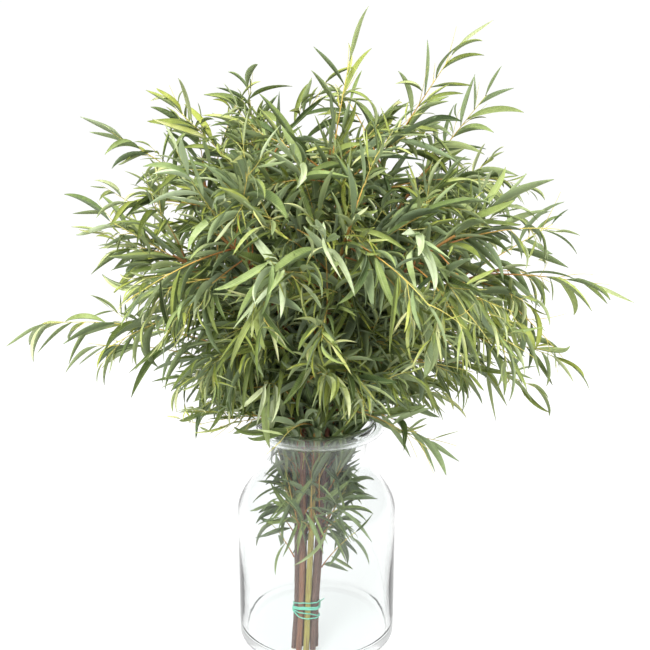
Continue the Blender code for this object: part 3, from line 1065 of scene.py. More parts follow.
@dataclass
class Vase:
    """The turned glass vase: a thick base, a wide body, a neck and a rolled lip."""

    height: float
    body_radius: float
    neck_radius: float = 0.058
    neck_height: float = 0.2325
    shoulder_height: float = 0.160
    wall: float = 0.0035
    base_thickness: float = 0.012
    foot_round: float = 0.009
    inner_round: float = 0.007
    heel: float = 0.0032
    heel_height: float = 0.130
    lip_round: float = 0.0085
    lip_wall: float = 0.0026
    lip_radius: float = 0.0795
    lip_seat: float = 0.2655
    lip_bottom: float = 0.255
    lip_seat_radius: float = 0.0652
    hook_deg: float = -125.0
    lip_start_deg: float = 152.0
    floor_middle: float = 0.03
    floor_rise: tuple[float, float] = (0.0012, 0.0009)
    clearance: float = 0.0015
    sides: int = 160

    @classmethod
    def from_frame(cls) -> "Vase":
        """Take the vase's outer sizes from the frame."""
        _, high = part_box("glass_vase")
        return cls(height=high[2], body_radius=high[0])

    def outer(self, height: float) -> float:
        """Return the wall's outer radius at a height between the foot and the lip."""
        if height <= self.shoulder_height:
            return self.body_radius
        if height <= self.neck_height:
            rise = (height - self.shoulder_height) / (self.neck_height - self.shoulder_height)
            swell = 0.5 + 0.5 * math.cos(math.pi * rise)
            return self.neck_radius + (self.body_radius - self.neck_radius) * swell
        rise = (height - self.neck_height) / (self.lip_seat - self.neck_height)
        return self.neck_radius + (self.lip_seat_radius - self.neck_radius) * rise * rise

    def heel_radius(self, height: float) -> float:
        """Return the inner wall's radius below the shoulder, where the glass thickens to the floor."""
        rise = min((height - self.base_thickness) / (self.heel_height - self.base_thickness), 1)
        return self.body_radius - self.wall - self.heel * (1 - rise * rise * (3 - 2 * rise))

    @staticmethod
    def arc(
        centre: tuple[float, float], radius: float, span: tuple[float, float], steps: int
    ) -> list[tuple]:
        """Return points along an arc of the section.

        Args:
            centre: The arc's middle, as radius and height.
            radius: The arc's radius.
            span: Its first and last angle, in degrees.
            steps: How many pieces it is in.

        Returns:
            The points as (radius, height).
        """
        angles = [math.radians(angle) for angle in spaced(*span, steps)]
        return [(centre[0] + radius * math.cos(a), centre[1] + radius * math.sin(a)) for a in angles]

    def section(self) -> list[tuple]:
        """Return the glass's section, from the middle of its floor round to its underside."""
        floor = self.base_thickness
        heel = spaced(floor, self.heel_height, 14)[1:-1]
        straight = spaced(self.heel_height, self.shoulder_height, 4)[:-1]
        heights = spaced(self.shoulder_height, self.neck_height, 16)
        heights += spaced(self.neck_height, self.lip_seat, 7)[1:-1]
        points = [(r, floor + rise) for r, rise in zip((0, self.floor_middle), self.floor_rise)]
        corner = (self.heel_radius(floor) - self.inner_round, floor + self.inner_round)
        points += self.arc(corner, self.inner_round, (-90, 0), 10)
        points += [(self.heel_radius(z), z) for z in heel + straight]
        points += [(self.outer(z) - self.wall, z) for z in heights]
        curl = (self.lip_radius - self.lip_round, self.height - self.lip_round)
        points += self.arc(curl, self.lip_round, (self.lip_start_deg, self.hook_deg), 24)
        middle = self.arc(curl, self.lip_round - self.lip_wall / 2, (self.hook_deg, 0), 1)[0]
        points += self.arc(middle, self.lip_wall / 2, (self.hook_deg - 36, self.hook_deg - 144), 3)
        points += self.arc(curl, self.lip_round - self.lip_wall, (self.hook_deg, 180), 22)
        points += [(self.outer(z), z) for z in reversed(heights)]
        points += [(self.body_radius, z) for z in reversed(straight)]
        points += [(self.body_radius, z) for z in reversed(heel) if z > self.foot_round]
        foot = (self.body_radius - self.foot_round, self.foot_round)
        points += self.arc(foot, self.foot_round, (0, -90), 12)
        return points + [(self.floor_middle, 0.0), (0, 0.0)]

    def blocks(self, points: Iterable[Vector]) -> bool:
        """Tell whether a line of points meets the glass or the floor.

        Args:
            points: The points in order.

        Returns:
            True if the line touches the vase or goes through its wall.
        """
        side = None
        for p in points:
            if p.z < self.clearance:
                return True
            if p.z > self.height + self.clearance:
                side = None
                continue
            radius = math.hypot(p.x, p.y)
            outer = self.outer(min(p.z, self.lip_bottom))
            inner = outer - self.wall
            if p.z > self.lip_bottom:
                outer = self.lip_radius
            if inner - self.clearance < radius < outer + self.clearance:
                return True
            inside = radius < inner
            if inside and p.z < self.base_thickness + 2 * self.clearance:
                return True
            if side is not None and side != inside:
                return True
            side = inside
        return False

    def build(self, finish: bpy.types.Material) -> bpy.types.Object:
        """Turn the section into the vase.

        Args:
            finish: The glass.

        Returns:
            The vase.
        """
        points = self.section()
        mesh = bpy.data.meshes.new("vase_section")
        edges = [(i, i + 1) for i in range(len(points) - 1)]
        mesh.from_pydata([(r, 0, z) for r, z in points], edges, [])
        source = bpy.data.objects.new("vase_section", mesh)
        bpy.context.scene.collection.objects.link(source)
        screw = source.modifiers.new("turned", "SCREW")
        screw.steps = screw.render_steps = self.sides
        screw.use_merge_vertices = True
        screw.merge_threshold = 0.00002
        vase = as_plain_piece("vase_glass", source)
        recalculate(vase.data)
        vase.data.materials.append(finish)
        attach(vase, "root")
        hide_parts("glass_vase")
        return vase


def as_plain_piece(name: str, source: bpy.types.Object) -> bpy.types.Object:
    """Turn an object with modifiers into a plain mesh piece, and remove the source.

    Args:
        name: The piece's name.
        source: The object to evaluate.

    Returns:
        The piece.
    """
    graph = bpy.context.evaluated_depsgraph_get()
    evaluated = source.evaluated_get(graph)
    mesh = bpy.data.meshes.new_from_object(evaluated, preserve_all_data_layers=True, depsgraph=graph)
    mesh.name = name
    drop_empty_slots(mesh)
    piece = bpy.data.objects.new(name, mesh)
    bpy.context.scene.collection.objects.link(piece)
    bpy.data.objects.remove(source)
    return piece


def drop_empty_slots(mesh: bpy.types.Mesh) -> None:
    """Keep only the material slots that the mesh's faces use."""
    given = [face.material_index for face in mesh.polygons]
    used = sorted(set(given))
    if len(used) == len(mesh.materials) or not mesh.materials:
        return
    kept = [mesh.materials[number] for number in used]
    mesh.materials.clear()
    for material in kept:
        mesh.materials.append(material)
    mesh.polygons.foreach_set("material_index", [used.index(number) for number in given])


def recalculate(mesh: bpy.types.Mesh) -> None:
    """Point a closed mesh's faces outwards and shade it smooth."""
    bm = bmesh.new()
    bm.from_mesh(mesh)
    bmesh.ops.recalc_face_normals(bm, faces=bm.faces)
    for face in bm.faces:
        face.smooth = True
    bm.to_mesh(mesh)
    bm.free()


# --------------------------------------------------------------------------------------------
# Leaves
# --------------------------------------------------------------------------------------------


BLADE_WIDTH = 0.2


@dataclass(frozen=True)
class Blade:
    """One shape of leaf, of length 1 along +X, with its upper face towards +Z."""

    sickle: float
    droop: float
    twist: float
    fold: float
    stations: int = 10
    petiole: float = 0.07
    petiole_width: float = 0.10
    thickness: float = 0.0045

    def half_width(self, along: float) -> float:
        """Return half the blade's width, 0.5 at its widest: a narrow leaf with a long point."""
        if along <= self.petiole:
            return 0.5 * self.petiole_width
        opened = (along - self.petiole) / (1 - self.petiole)
        swell = math.sin(math.pi * opened**0.62) ** 0.85 if opened < 1 else 0.0
        return 0.5 * max(swell, 0.045, self.petiole_width * (1 - opened) ** 8)

    def frames(self) -> list[tuple[float, Vector, Vector, Vector]]:
        """Return each station's place along, its middle, and its width and upward directions."""
        ahead, wide, above = Vector((1, 0, 0)), Vector((0, 1, 0)), Vector((0, 0, 1))
        middle = Vector((0, 0, 0))
        found = []
        last = 0.0
        for i in range(self.stations):
            along = i / (self.stations - 1)
            step = along - last
            middle = middle + ahead * step
            found.append((along, middle.copy(), wide.copy(), above.copy()))
            turns = (
                Quaternion(above, self.sickle / self.stations),
                Quaternion(wide, self.droop / self.stations),
                Quaternion(ahead, self.twist / self.stations),
            )
            for turn in turns:
                ahead, wide, above = turn @ ahead, turn @ wide, turn @ above
            last = along
        return found

    def build(self, name: str) -> bpy.types.Object:
        """Build the blade as a thin closed solid.

        Args:
            name: The object's name.

        Returns:
            The blade, outside the scene.
        """
        verts, faces, sides, maps = [], [], [], []
        frames = self.frames()
        for along, middle, wide, above in frames:
            half = self.half_width(along)
            lift = above * half * self.fold * 0.12
            reach = wide * half * BLADE_WIDTH
            under_rib = middle - above * self.thickness
            verts += [middle + reach + lift, middle, middle - reach + lift, under_rib]
        across = (0.0, 0.5, 1.0, 0.5)
        strips = ((0, 1, 0.0), (1, 2, 0.0), (2, 3, 1.0), (3, 0, 1.0))
        for i in range(len(frames) - 1):
            near, far = 4 * i, 4 * (i + 1)
            low, high = frames[i][0], frames[i + 1][0]
            for a, b, under in strips:
                corners = (near + a, near + b, far + b, far + a)
                spread = ((across[a], low), (across[b], low), (across[b], high), (across[a], high))
                # Every strip is cut from the rib to the rim, so that the two sides never cross.
                for cut in ((0, 1, 2), (0, 2, 3)) if a % 2 else ((0, 1, 3), (1, 2, 3)):
                    faces.append(tuple(corners[c] for c in cut))
                    sides.append(under)
                    maps.append(tuple(spread[c] for c in cut))
        end = 4 * (len(frames) - 1)
        faces += [(3, 2, 1, 0), (end, end + 1, end + 2, end + 3)]
        sides += [0.0, 0.0]
        maps += [((0.5, 0.0),) * 4, ((0.5, 1.0),) * 4]
        mesh = bpy.data.meshes.new(name)
        mesh.from_pydata(verts, [], faces)
        uv = mesh.uv_layers.new(name="blade")
        uv.data.foreach_set("uv", [c for face in maps for corner in face for c in corner])
        mesh.attributes.new("underside", "FLOAT", "FACE").data.foreach_set("value", sides)
        sharp = mesh.attributes.new("sharp_edge", "BOOLEAN", "EDGE")
        ends = [[v % 4 for v in edge.vertices] for edge in mesh.edges]
        sharp.data.foreach_set("value", [pair in ([0, 0], [2, 2]) for pair in ends])
        mesh.polygons.foreach_set("use_smooth", [True] * len(mesh.polygons))
        return bpy.data.objects.new(name, mesh)


@dataclass
class LeafSeat:
    """Where one leaf sits: its foot, the way it turns, its size, its form and its tint."""

    place: Vector
    turn: Quaternion
    size: Vector
    form: int
    tint: float
    warmth: float


class Leaves:
    """The bunch's leaf shapes, and the rule by which leaves sit on a shoot."""

    forms_count = 24
    tries = 4
    plain_kinds = (ShootKind.DRAPED, ShootKind.INSIDE, ShootKind.COLLAR)

    def __init__(self, vase: Vase) -> None:
        """Make the leaf shapes.

        Args:
            vase: The vase, which leaves don't grow through.
        """
        rng = random.Random(7)
        self.vase = vase
        self.forms = [
            Blade(
                sickle=rng.uniform(0.25, 1.15) * rng.choice((-1, 1)),
                droop=rng.uniform(-0.15, 1.10),
                twist=rng.uniform(-1.3, 1.3),
                fold=rng.uniform(0.5, 2.0),
            )
            for _ in range(self.forms_count)
        ]
        self.lines = [[middle for _, middle, _, _ in form.frames()] for form in self.forms]
        self.collection = bpy.data.collections.new("leaf_forms")
        for number, form in enumerate(self.forms):
            self.collection.objects.link(form.build(f"leaf_form_{number:02d}"))
        side = (CAD_HIGH - CAD_LOW) * 0.02 + Vector((0.008,) * 3)
        self.low, self.high = CAD_LOW - side, CAD_HIGH + side
        self.crown = Crown()

    def fits(self, seat: LeafSeat, habit: Habit, rng: random.Random) -> bool:
        """Tell whether a leaf stays in its part of the bunch and clear of the glass."""
        line = [seat.place + seat.turn @ (p * seat.size.x) for p in self.lines[seat.form]]
        if habit.in_crown and not self.crown.holds(line[-1], rng):
            return False
        inside = all(self.low[i] < p[i] < self.high[i] for p in line for i in range(3))
        return inside and not self.vase.blocks(line)

    def tint(self, rng: random.Random, place: Vector, habit: Habit, newness: float) -> float:
        """Pick a leaf's tint: its own random tone, paler on young growth, with painted shade deep in the
        crown and painted light towards its edge.

        Args:
            rng: The shoot's random numbers.
            place: The leaf's foot.
            habit: The shoot's habit.
            newness: 0 on old wood, 1 at the shoot's very end.

        Returns:
            The tint, from 0, the deepest green, to 1, the palest.
        """
        # Painted shade and light: leaves deep in the crown take darker tones and leaves near its edge
        # paler ones, standing in for the shade and light that fall there.
        outward = min(self.crown.depth(place), 1.0)
        base = 0.09 + 0.46 * outward + habit.paleness + 0.12 * newness
        return clamp(rng.gauss(base, 0.19), 0.02, 0.98)

    def seat(self, shoot: Shoot, along: float, turn: float, rng: random.Random) -> LeafSeat:
        """Work out one leaf of a shoot.

        Args:
            shoot: The shoot.
            along: Where on the shoot it sits, from 0 to 1.
            turn: The angle round the shoot.
            rng: The shoot's random numbers.

        Returns:
            The leaf's seat.
        """
        habit = HABITS[shoot.kind]
        heading = shoot.heading(min(along, LAST_HEADING))
        across = heading.orthogonal().normalized()
        outward = swung(across, heading.cross(across), turn)
        newness = clamp((along - 0.72) / 0.28, 0.0, 1.0)
        opening = math.radians(rng.uniform(*habit.opening_deg)) * (1 - 0.55 * newness)
        ahead = swung(heading, outward, opening)
        lowness = clamp((0.60 - shoot.end.z) / 0.20, -0.5, 1.3)
        ahead = (ahead - UP * rng.uniform(*habit.hang) * lowness).normalized()
        above = UP - UP.dot(ahead) * ahead
        if above.length < 0.2:
            above = across - across.dot(ahead) * ahead
        above = Quaternion(ahead, rng.gauss(0, 0.75)) @ above.normalized()
        wide = above.cross(ahead)
        turned = Matrix((ahead, wide, above)).transposed().to_quaternion()
        length = rng.uniform(*habit.leaf_length) * (1 - 0.42 * newness * rng.random())
        width = rng.uniform(*habit.leaf_width) / BLADE_WIDTH
        size = Vector((length, length * width * (1 - 0.2 * newness), length))
        tint = self.tint(rng, shoot.point(along), habit, newness)
        shoot_warmth = 0.22 + 0.66 * random.Random(shoot.seed + 3).random()
        fresh = 0.25 if shoot.kind is ShootKind.SPRIG else 0
        warmth = clamp(rng.gauss(shoot_warmth, 0.12) + fresh, 0, 1)
        if shoot.kind in self.plain_kinds:
            warmth *= 0.4
        form = rng.randrange(self.forms_count)
        return LeafSeat(shoot.point(along), turned, size, form, tint, warmth)

    def on_shoot(self, shoot: Shoot) -> list[LeafSeat]:
        """List the leaves of a shoot, in a spiral up to its end.

        Args:
            shoot: The shoot.

        Returns:
            The leaves that there is room for.
        """
        habit = HABITS[shoot.kind]
        rng = random.Random(shoot.seed + 1)
        count = max(int(shoot.length * (1 - habit.first_leaf) / habit.leaf_gap), 3)
        start = rng.uniform(0, math.tau)
        found = []
        for number in range(count):
            place = number + rng.uniform(-0.3, 0.3)
            along = habit.first_leaf + (1 - habit.first_leaf) * place / (count - 1)
            along = clamp(along, 0.02, 1.0)
            turn = start + math.pi * number + rng.gauss(0, 0.7)
            for _ in range(self.tries):
                seat = self.seat(shoot, along, turn, rng)
                if self.fits(seat, habit, rng):
                    found.append(seat)
                    break
        return found


# --------------------------------------------------------------------------------------------
# Geometry Nodes trees
# --------------------------------------------------------------------------------------------


def named(graph: Graph, name: str, kind: str) -> Any:
    """Read a mesh attribute in a geometry tree."""
    made = graph.node("GeometryNodeInputNamedAttribute", {"Name": name}, data_type=kind)
    return made.outputs["Attribute"]


def store(graph: Graph, geometry: Any, name: str, value: Any, kind: str) -> Any:
    """Store a value on a geometry's points.

    Args:
        graph: The tree's graph.
        geometry: The geometry's output socket.
        name: The attribute's name.
        value: The value's output socket.
        kind: The attribute's data type.

    Returns:
        The geometry's output socket.
    """
    inputs = {"Geometry": geometry, "Name": name, "Value": value}
    made = graph.node("GeometryNodeStoreNamedAttribute", inputs, data_type=kind, domain="POINT")
    return made.outputs["Geometry"]


def dressed(graph: Graph, geometry: Any, finish: Any) -> Any:
    """Give a geometry its material in a geometry tree."""
    inputs = {"Geometry": geometry, "Material": finish}
    return graph.node("GeometryNodeSetMaterial", inputs).outputs["Geometry"]


def swept(graph: Graph, lines: Any, sides: Any) -> Any:
    """Sweep a round section along lines of points, by their own radius.

    Args:
        graph: The tree's graph.
        lines: The output socket of the mesh whose edges are the lines.
        sides: The output socket with the number of sides.

    Returns:
        The mesh's output socket. It carries shoot_along, in metres, and shoot_ring.
    """
    curve = graph.node("GeometryNodeMeshToCurve", {"Mesh": lines}).outputs["Curve"]
    length = graph.node("GeometryNodeSplineParameter").outputs["Length"]
    curve = store(graph, curve, "shoot_along", length, "FLOAT")
    ring = graph.node("GeometryNodeCurvePrimitiveCircle", {"Resolution": sides, "Radius": 1.0})
    place = graph.node("GeometryNodeInputPosition").outputs["Position"]
    section = store(graph, ring.outputs["Curve"], "shoot_ring", place, "FLOAT_VECTOR")
    inputs = {
        "Curve": curve,
        "Profile Curve": section,
        "Scale": named(graph, "shoot_radius", "FLOAT"),
        "Fill Caps": True,
    }
    mesh = graph.node("GeometryNodeCurveToMesh", inputs).outputs["Mesh"]
    return graph.node("GeometryNodeSetShadeSmooth", {"Geometry": mesh}).outputs["Geometry"]


def foliage_tree() -> bpy.types.NodeTree:
    """Build the tree that turns shoot lines and leaf seats into leafy shoots.

    Returns:
        The geometry tree.
    """
    sockets = {
        "Geometry": "NodeSocketGeometry",
        "Leaf Forms": "NodeSocketCollection",
        "Leaf Finish": "NodeSocketMaterial",
        "Shoot Finish": "NodeSocketMaterial",
        "Shoot Sides": "NodeSocketInt",
    }
    graph = new_group("foliage", "GeometryNodeTree", sockets, {"Geometry": "NodeSocketGeometry"})
    given = graph.node("NodeGroupInput").outputs
    shoots = swept(graph, given["Geometry"], given["Shoot Sides"])
    shoots = dressed(graph, shoots, given["Shoot Finish"])
    inputs = {"Collection": given["Leaf Forms"], "Separate Children": True, "Reset Children": True}
    forms = graph.node("GeometryNodeCollectionInfo", inputs)
    inputs = {
        "Points": given["Geometry"],
        "Selection": named(graph, "leaf_seat", "BOOLEAN"),
        "Instance": forms.outputs["Instances"],
        "Pick Instance": True,
        "Instance Index": named(graph, "leaf_form", "INT"),
        "Rotation": named(graph, "leaf_turn", "QUATERNION"),
        "Scale": named(graph, "leaf_size", "FLOAT_VECTOR"),
    }
    leaves = graph.node("GeometryNodeInstanceOnPoints", inputs).outputs["Instances"]
    leaves = graph.node("GeometryNodeRealizeInstances", {"Geometry": leaves}).outputs["Geometry"]
    leaves = dressed(graph, leaves, given["Leaf Finish"])
    joined = graph.node("GeometryNodeJoinGeometry")
    for part in (leaves, shoots):
        graph.feed(joined, {"Geometry": part})
    graph.node("NodeGroupOutput", {"Geometry": joined.outputs["Geometry"]})
    return graph.tree


def stem_tree() -> bpy.types.NodeTree:
    """Build the tree that sweeps a stem or strand and roughens its face.

    Returns:
        The geometry tree.
    """
    sockets = {
        "Geometry": "NodeSocketGeometry",
        "Finish": "NodeSocketMaterial",
        "Sides": "NodeSocketInt",
        "Relief": "NodeSocketFloat",
        "Relief Scale": "NodeSocketFloat",
    }
    graph = new_group("swept_stem", "GeometryNodeTree", sockets, {"Geometry": "NodeSocketGeometry"})
    given = graph.node("NodeGroupInput").outputs
    mesh = swept(graph, given["Geometry"], given["Sides"])
    noise = graph.node("ShaderNodeTexNoise", {"Scale": given["Relief Scale"], "Detail": 2.0})
    lift = graph.swing(noise.outputs["Fac"], given["Relief"])
    normal = graph.node("GeometryNodeInputNormal").outputs["Normal"]
    offset = graph.node("ShaderNodeVectorMath", {"Vector": normal, "Scale": lift}, operation="SCALE")
    inputs = {"Geometry": mesh, "Offset": offset.outputs["Vector"]}
    moved = graph.node("GeometryNodeSetPosition", inputs).outputs["Geometry"]
    whole = graph.node("GeometryNodeRealizeInstances", {"Geometry": moved}).outputs["Geometry"]
    graph.node("NodeGroupOutput", {"Geometry": dressed(graph, whole, given["Finish"])})
    return graph.tree


def grown(
    name: str, mesh: bpy.types.Mesh, tree: bpy.types.NodeTree, inputs: dict[str, Any]
) -> bpy.types.Object:
    """Run a geometry tree on a mesh and keep the result as a plain piece.

    Args:
        name: The piece's name.
        mesh: The lines and points that the tree reads.
        tree: The geometry tree.
        inputs: The value of each of the tree's inputs, by name.

    Returns:
        The piece.
    """
    source = bpy.data.objects.new(name + "_lines", mesh)
    bpy.context.scene.collection.objects.link(source)
    modifier = source.modifiers.new("grown", "NODES")
    modifier.node_group = tree
    for item in tree.interface.items_tree:
        if item.in_out == "INPUT" and item.name in inputs:
            modifier[item.identifier] = inputs[item.name]
    return as_plain_piece(name, source)


UNSET_VALUES = {
    "FLOAT": 0.0,
    "INT": 0,
    "BOOLEAN": False,
    "FLOAT_VECTOR": (1, 1, 1),
    "QUATERNION": (1, 0, 0, 0),
}


class LineMesh:
    """Lines of points and loose points, each with named values, for a geometry tree to read."""

    def __init__(self) -> None:
        """Start with no points."""
        self.points: list[Vector] = []
        self.edges: list[tuple[int, int]] = []
        self.values: dict[tuple[str, str], dict[int, Any]] = {}

    def add(self, point: Vector, **values: tuple[str, Any]) -> int:
        """Add a point and its values, each given as (data type, value), and return its number."""
        number = len(self.points)
        self.points.append(point)
        for name, (kind, value) in values.items():
            self.values.setdefault((name, kind), {})[number] = value
        return number

    def add_line(
        self, points: Sequence[Vector], radii: Sequence[float], **values: Sequence[float]
    ) -> None:
        """Add a line.

        Args:
            points: Its points in order.
            radii: The radius at each point.
            **values: Further numbers at each point, by attribute name.
        """
        first = len(self.points)
        for i, point in enumerate(points):
            more = {name: ("FLOAT", numbers[i]) for name, numbers in values.items()}
            self.add(point, shoot_radius=("FLOAT", radii[i]), **more)
        self.edges += [(first + i, first + i + 1) for i in range(len(points) - 1)]

    def build(self, name: str) -> bpy.types.Mesh:
        """Make the mesh with its attributes.

        Args:
            name: The mesh's name.

        Returns:
            The mesh.
        """
        mesh = bpy.data.meshes.new(name)
        mesh.from_pydata(self.points, self.edges, [])
        for (attribute, kind), known in self.values.items():
            made = mesh.attributes.new(attribute, kind, "POINT")
            values = [known.get(i, UNSET_VALUES[kind]) for i in range(len(self.points))]
            if kind in ("FLOAT_VECTOR", "QUATERNION"):
                flat = [number for value in values for number in value]
                made.data.foreach_set("vector" if kind == "FLOAT_VECTOR" else "value", flat)
            else:
                made.data.foreach_set("value", values)
        return mesh


# --------------------------------------------------------------------------------------------
# Stems, foliage and tie
# --------------------------------------------------------------------------------------------


@dataclass
class Branch:
    """One stem of the bunch with the shoots and leaves that grow from it."""

    number: int
    path: StemPath
    stem_points: int = 90
    stem_sides: int = 16
    shoot_points: int = 12
    shoot_sides: int = 6
    shoot_radius: tuple[float, float] = (0.0010, 0.00038)
    shoot_root: float = 0.003
    sprig_root: float = 0.0006
    node_swell: float = 0.10
    nodes_per_stem: float = 11

    def build_stem(self, tree: bpy.types.NodeTree, finish: bpy.types.Material) -> bpy.types.Object:
        """Build the stem with the slight swellings where leaves and shoots grew.

        Args:
            tree: The sweeping tree.
            finish: The bark.

        Returns:
            The stem.
        """
        first = self.path.foot_along()
        places = spaced(first, 1, self.stem_points - 1)
        turns = [place * self.nodes_per_stem + self.number * 0.37 for place in places]
        wave = [0.5 + 0.5 * math.cos(math.tau * turn) for turn in turns]
        radii = [self.path.radius(t) * (1 + self.node_swell * w**6) for t, w in zip(places, wave)]
        lines = LineMesh()
        hue = [self.path.stem.hue] * self.stem_points
        lines.add_line([self.path.point(t) for t in places], radii, stem_hue=hue)
        inputs = {"Finish": finish, "Sides": self.stem_sides, "Relief": 0.0004, "Relief Scale": 210.0}
        name = f"stem_{self.number:02d}"
        stem = grown(f"bark_{name}", lines.build(name + "_line"), tree, inputs)
        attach(stem, "root")
        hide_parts(name)
        return stem

    def shoot_line(self, shoot: Shoot, lines: LineMesh) -> None:
        """Add a shoot's own wood, from inside its stem to its end."""
        first, last = self.shoot_radius
        fresh = shoot.kind is ShootKind.SPRIG
        steps = spaced(0, 1, self.shoot_points - 1)
        points = [shoot.point(t) for t in steps]
        root = points[0] - shoot.heading(0.0) * (self.sprig_root if fresh else self.shoot_root)
        thick = 1.0 if shoot.kind in (ShootKind.SIDE, ShootKind.REACH) else 0.5 if fresh else 0.8
        radii = [thick * (first + (last - first) * t**0.8) for t in steps]
        age = [0.75 + 0.25 * t if fresh else min(t * 1.1, 1.0) for t in steps]
        lines.add_line([root, *points], [radii[0] * 1.15, *radii], shoot_age=[age[0], *age])

    def build_foliage(
        self, leaves: Leaves, growth: Growth, tree: bpy.types.NodeTree, finishes: "Finishes"
    ) -> int:
        """Build all the shoots and leaves of the branch as one piece.

        Args:
            leaves: The leaf shapes and how they sit.
            growth: The rule by which shoots grow.
            tree: The foliage tree.
            finishes: The bunch's finishes.

        Returns:
            The number of leaves.
        """
        lines = LineMesh()
        count = 0
        for shoot in growth.shoots(self.number, self.path):
            if leaves.vase.blocks([shoot.point(t) for t in spaced(0, 1, 10)]):
                continue
            if shoot.kind is not ShootKind.LEADER:
                self.shoot_line(shoot, lines)
            for seat in leaves.on_shoot(shoot):
                count += 1
                lines.add(
                    seat.place,
                    leaf_seat=("BOOLEAN", True),
                    leaf_form=("INT", seat.form),
                    leaf_turn=("QUATERNION", tuple(seat.turn)),
                    leaf_size=("FLOAT_VECTOR", tuple(seat.size)),
                    leaf_tint=("FLOAT", seat.tint),
                    leaf_warmth=("FLOAT", seat.warmth),
                )
        name = f"foliage_{self.number:02d}"
        inputs = {
            "Leaf Forms": leaves.collection,
            "Leaf Finish": finishes.leaf,
            "Shoot Finish": finishes.shoot,
            "Shoot Sides": self.shoot_sides,
        }
        piece = grown(name, lines.build(name + "_lines"), tree, inputs)
        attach(piece, "root")
        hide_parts(*self.own_sprays())
        return count

    def own_sprays(self) -> list[str]:
        """Return the frame's spray nodes that grow from this stem."""
        numbers = [place for place, reach in enumerate(REACHES, 1) if reach.stem == self.number - 1]
        chosen = {f"reaching_spray_{place:02d}" for place in numbers}
        start = f"spray_{self.number:02d}_"
        return [name for name in sorted(frame["nodes"]) if name in chosen or name.startswith(start)]


@dataclass(frozen=True)
class TieWinding:
    """One turn of the elastic: how far along the bundle it lies at four sides of it."""

    left: float
    front: float
    right: float
    back: float
    radius: float


@dataclass
class Tie:
    """The mint elastic, wound several times round the stems and knotted at the back."""

    windings: tuple[TieWinding, ...] = (
        TieWinding(0.0060, 0.0095, 0.0085, 0.0040, 0.00065),
        TieWinding(0.0012, 0.0042, 0.0020, 0.0012, 0.00100),
        TieWinding(0.0000, 0.0024, 0.0004, 0.0000, 0.00100),
        TieWinding(-0.0014, -0.0022, -0.0080, -0.0030, 0.00062),
        TieWinding(-0.0018, -0.0082, -0.0088, -0.0016, 0.00070),
    )
    strand: float = 0.00085
    steps: int = 72
    smoothing: int = 4
    stems_round: int = 9
    loop_steps: int = 29
    knot_place: tuple[float, float, float] = (0.0142, 0.005, 0.003)
    climb: float = 0.0006
    loop_size: tuple[float, float, float] = (0.0016, 0.0014, 0.0016)
    tail_points: int = 7

    def outline(self, turn: float) -> float:
        """Return the distance from the bundle's middle to a strand pulled tight round it."""
        step = math.tau / self.stems_round
        off = (turn % step) - step / 2
        flat = BUNDLE.outer_ring * math.cos(step / 2) + BUNDLE.radius_foot
        return min(flat / math.cos(off), BUNDLE.outer_ring + BUNDLE.radius_foot) + self.strand

    def route(self) -> list[Vector]:
        """Return the strand's middle line through all its turns."""
        axis = BUNDLE.axis.normalized()
        middle = BUNDLE.foot + BUNDLE.axis * BUNDLE.tie_along
        sides = [w for turn in self.windings for w in (turn.left, turn.front, turn.right, turn.back)]
        points = []
        for i in range(len(self.windings) * self.steps):
            quarter = 4 * i / self.steps
            low = int(quarter)
            share = 0.5 - 0.5 * math.cos(math.pi * (quarter - low))
            height = sides[low] + (sides[min(low + 1, len(sides) - 1)] - sides[low]) * share
            turn = math.pi + math.tau * i / self.steps
            radius = self.outline(turn) + self.climb * (low // 4) / len(self.windings)
            points.append(middle + axis * height + swung(BUNDLE.across, BUNDLE.back, turn) * radius)
        return points

    def build(self, tree: bpy.types.NodeTree, finish: bpy.types.Material) -> bpy.types.Object:
        """Build the elastic with its knot and free end.

        Args:
            tree: The sweeping tree.
            finish: The elastic's material.

        Returns:
            The tie.
        """
        lines = LineMesh()
        route = self.route()
        given = [self.windings[i // self.steps].radius for i in range(len(route))]
        near = [given[max(i - self.smoothing, 0) : i + self.smoothing + 1] for i in range(len(given))]
        lines.add_line(route, [sum(radii) / len(radii) for radii in near])
        axis = BUNDLE.axis.normalized()
        middle = BUNDLE.foot + BUNDLE.axis * BUNDLE.tie_along
        aside, behind, above = self.knot_place
        seat = middle + BUNDLE.across * aside + BUNDLE.back * behind + axis * above
        wide, deep, high = self.loop_size
        loop = []
        for turn in spaced(0, math.tau, self.loop_steps):
            swing = (wide * math.cos(turn), deep * math.sin(2 * turn), high * math.sin(turn))
            loop.append(seat + Vector(swing))
        lines.add_line(loop, [self.strand] * len(loop))
        steps = range(self.tail_points)
        tail = [seat + Vector((0.0011 * i, 0.0002 * i, 0.0014 * i - 0.00009 * i * i)) for i in steps]
        lines.add_line(tail, [self.strand * (0.8 - 0.05 * i) for i in steps])
        inputs = {"Finish": finish, "Sides": 10, "Relief": 0.0001, "Relief Scale": 900.0}
        tie = grown("elastic_tie", lines.build("tie_lines"), tree, inputs)
        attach(tie, "root")
        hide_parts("tie")
        return tie


# --------------------------------------------------------------------------------------------
# The studio
# --------------------------------------------------------------------------------------------


WHITE = (1.0, 1.0, 1.0, 1.0)
LAMPS = (
    ("key", (-0.8, -1.5, 2.3), 1.2, 90.0),
    ("fill", (1.6, -1.4, 1.3), 1.6, 22.0),
    ("rim", (0.6, 1.6, 2.2), 1.4, 30.0),
)
LAMP_TARGET_HEIGHT = 0.40


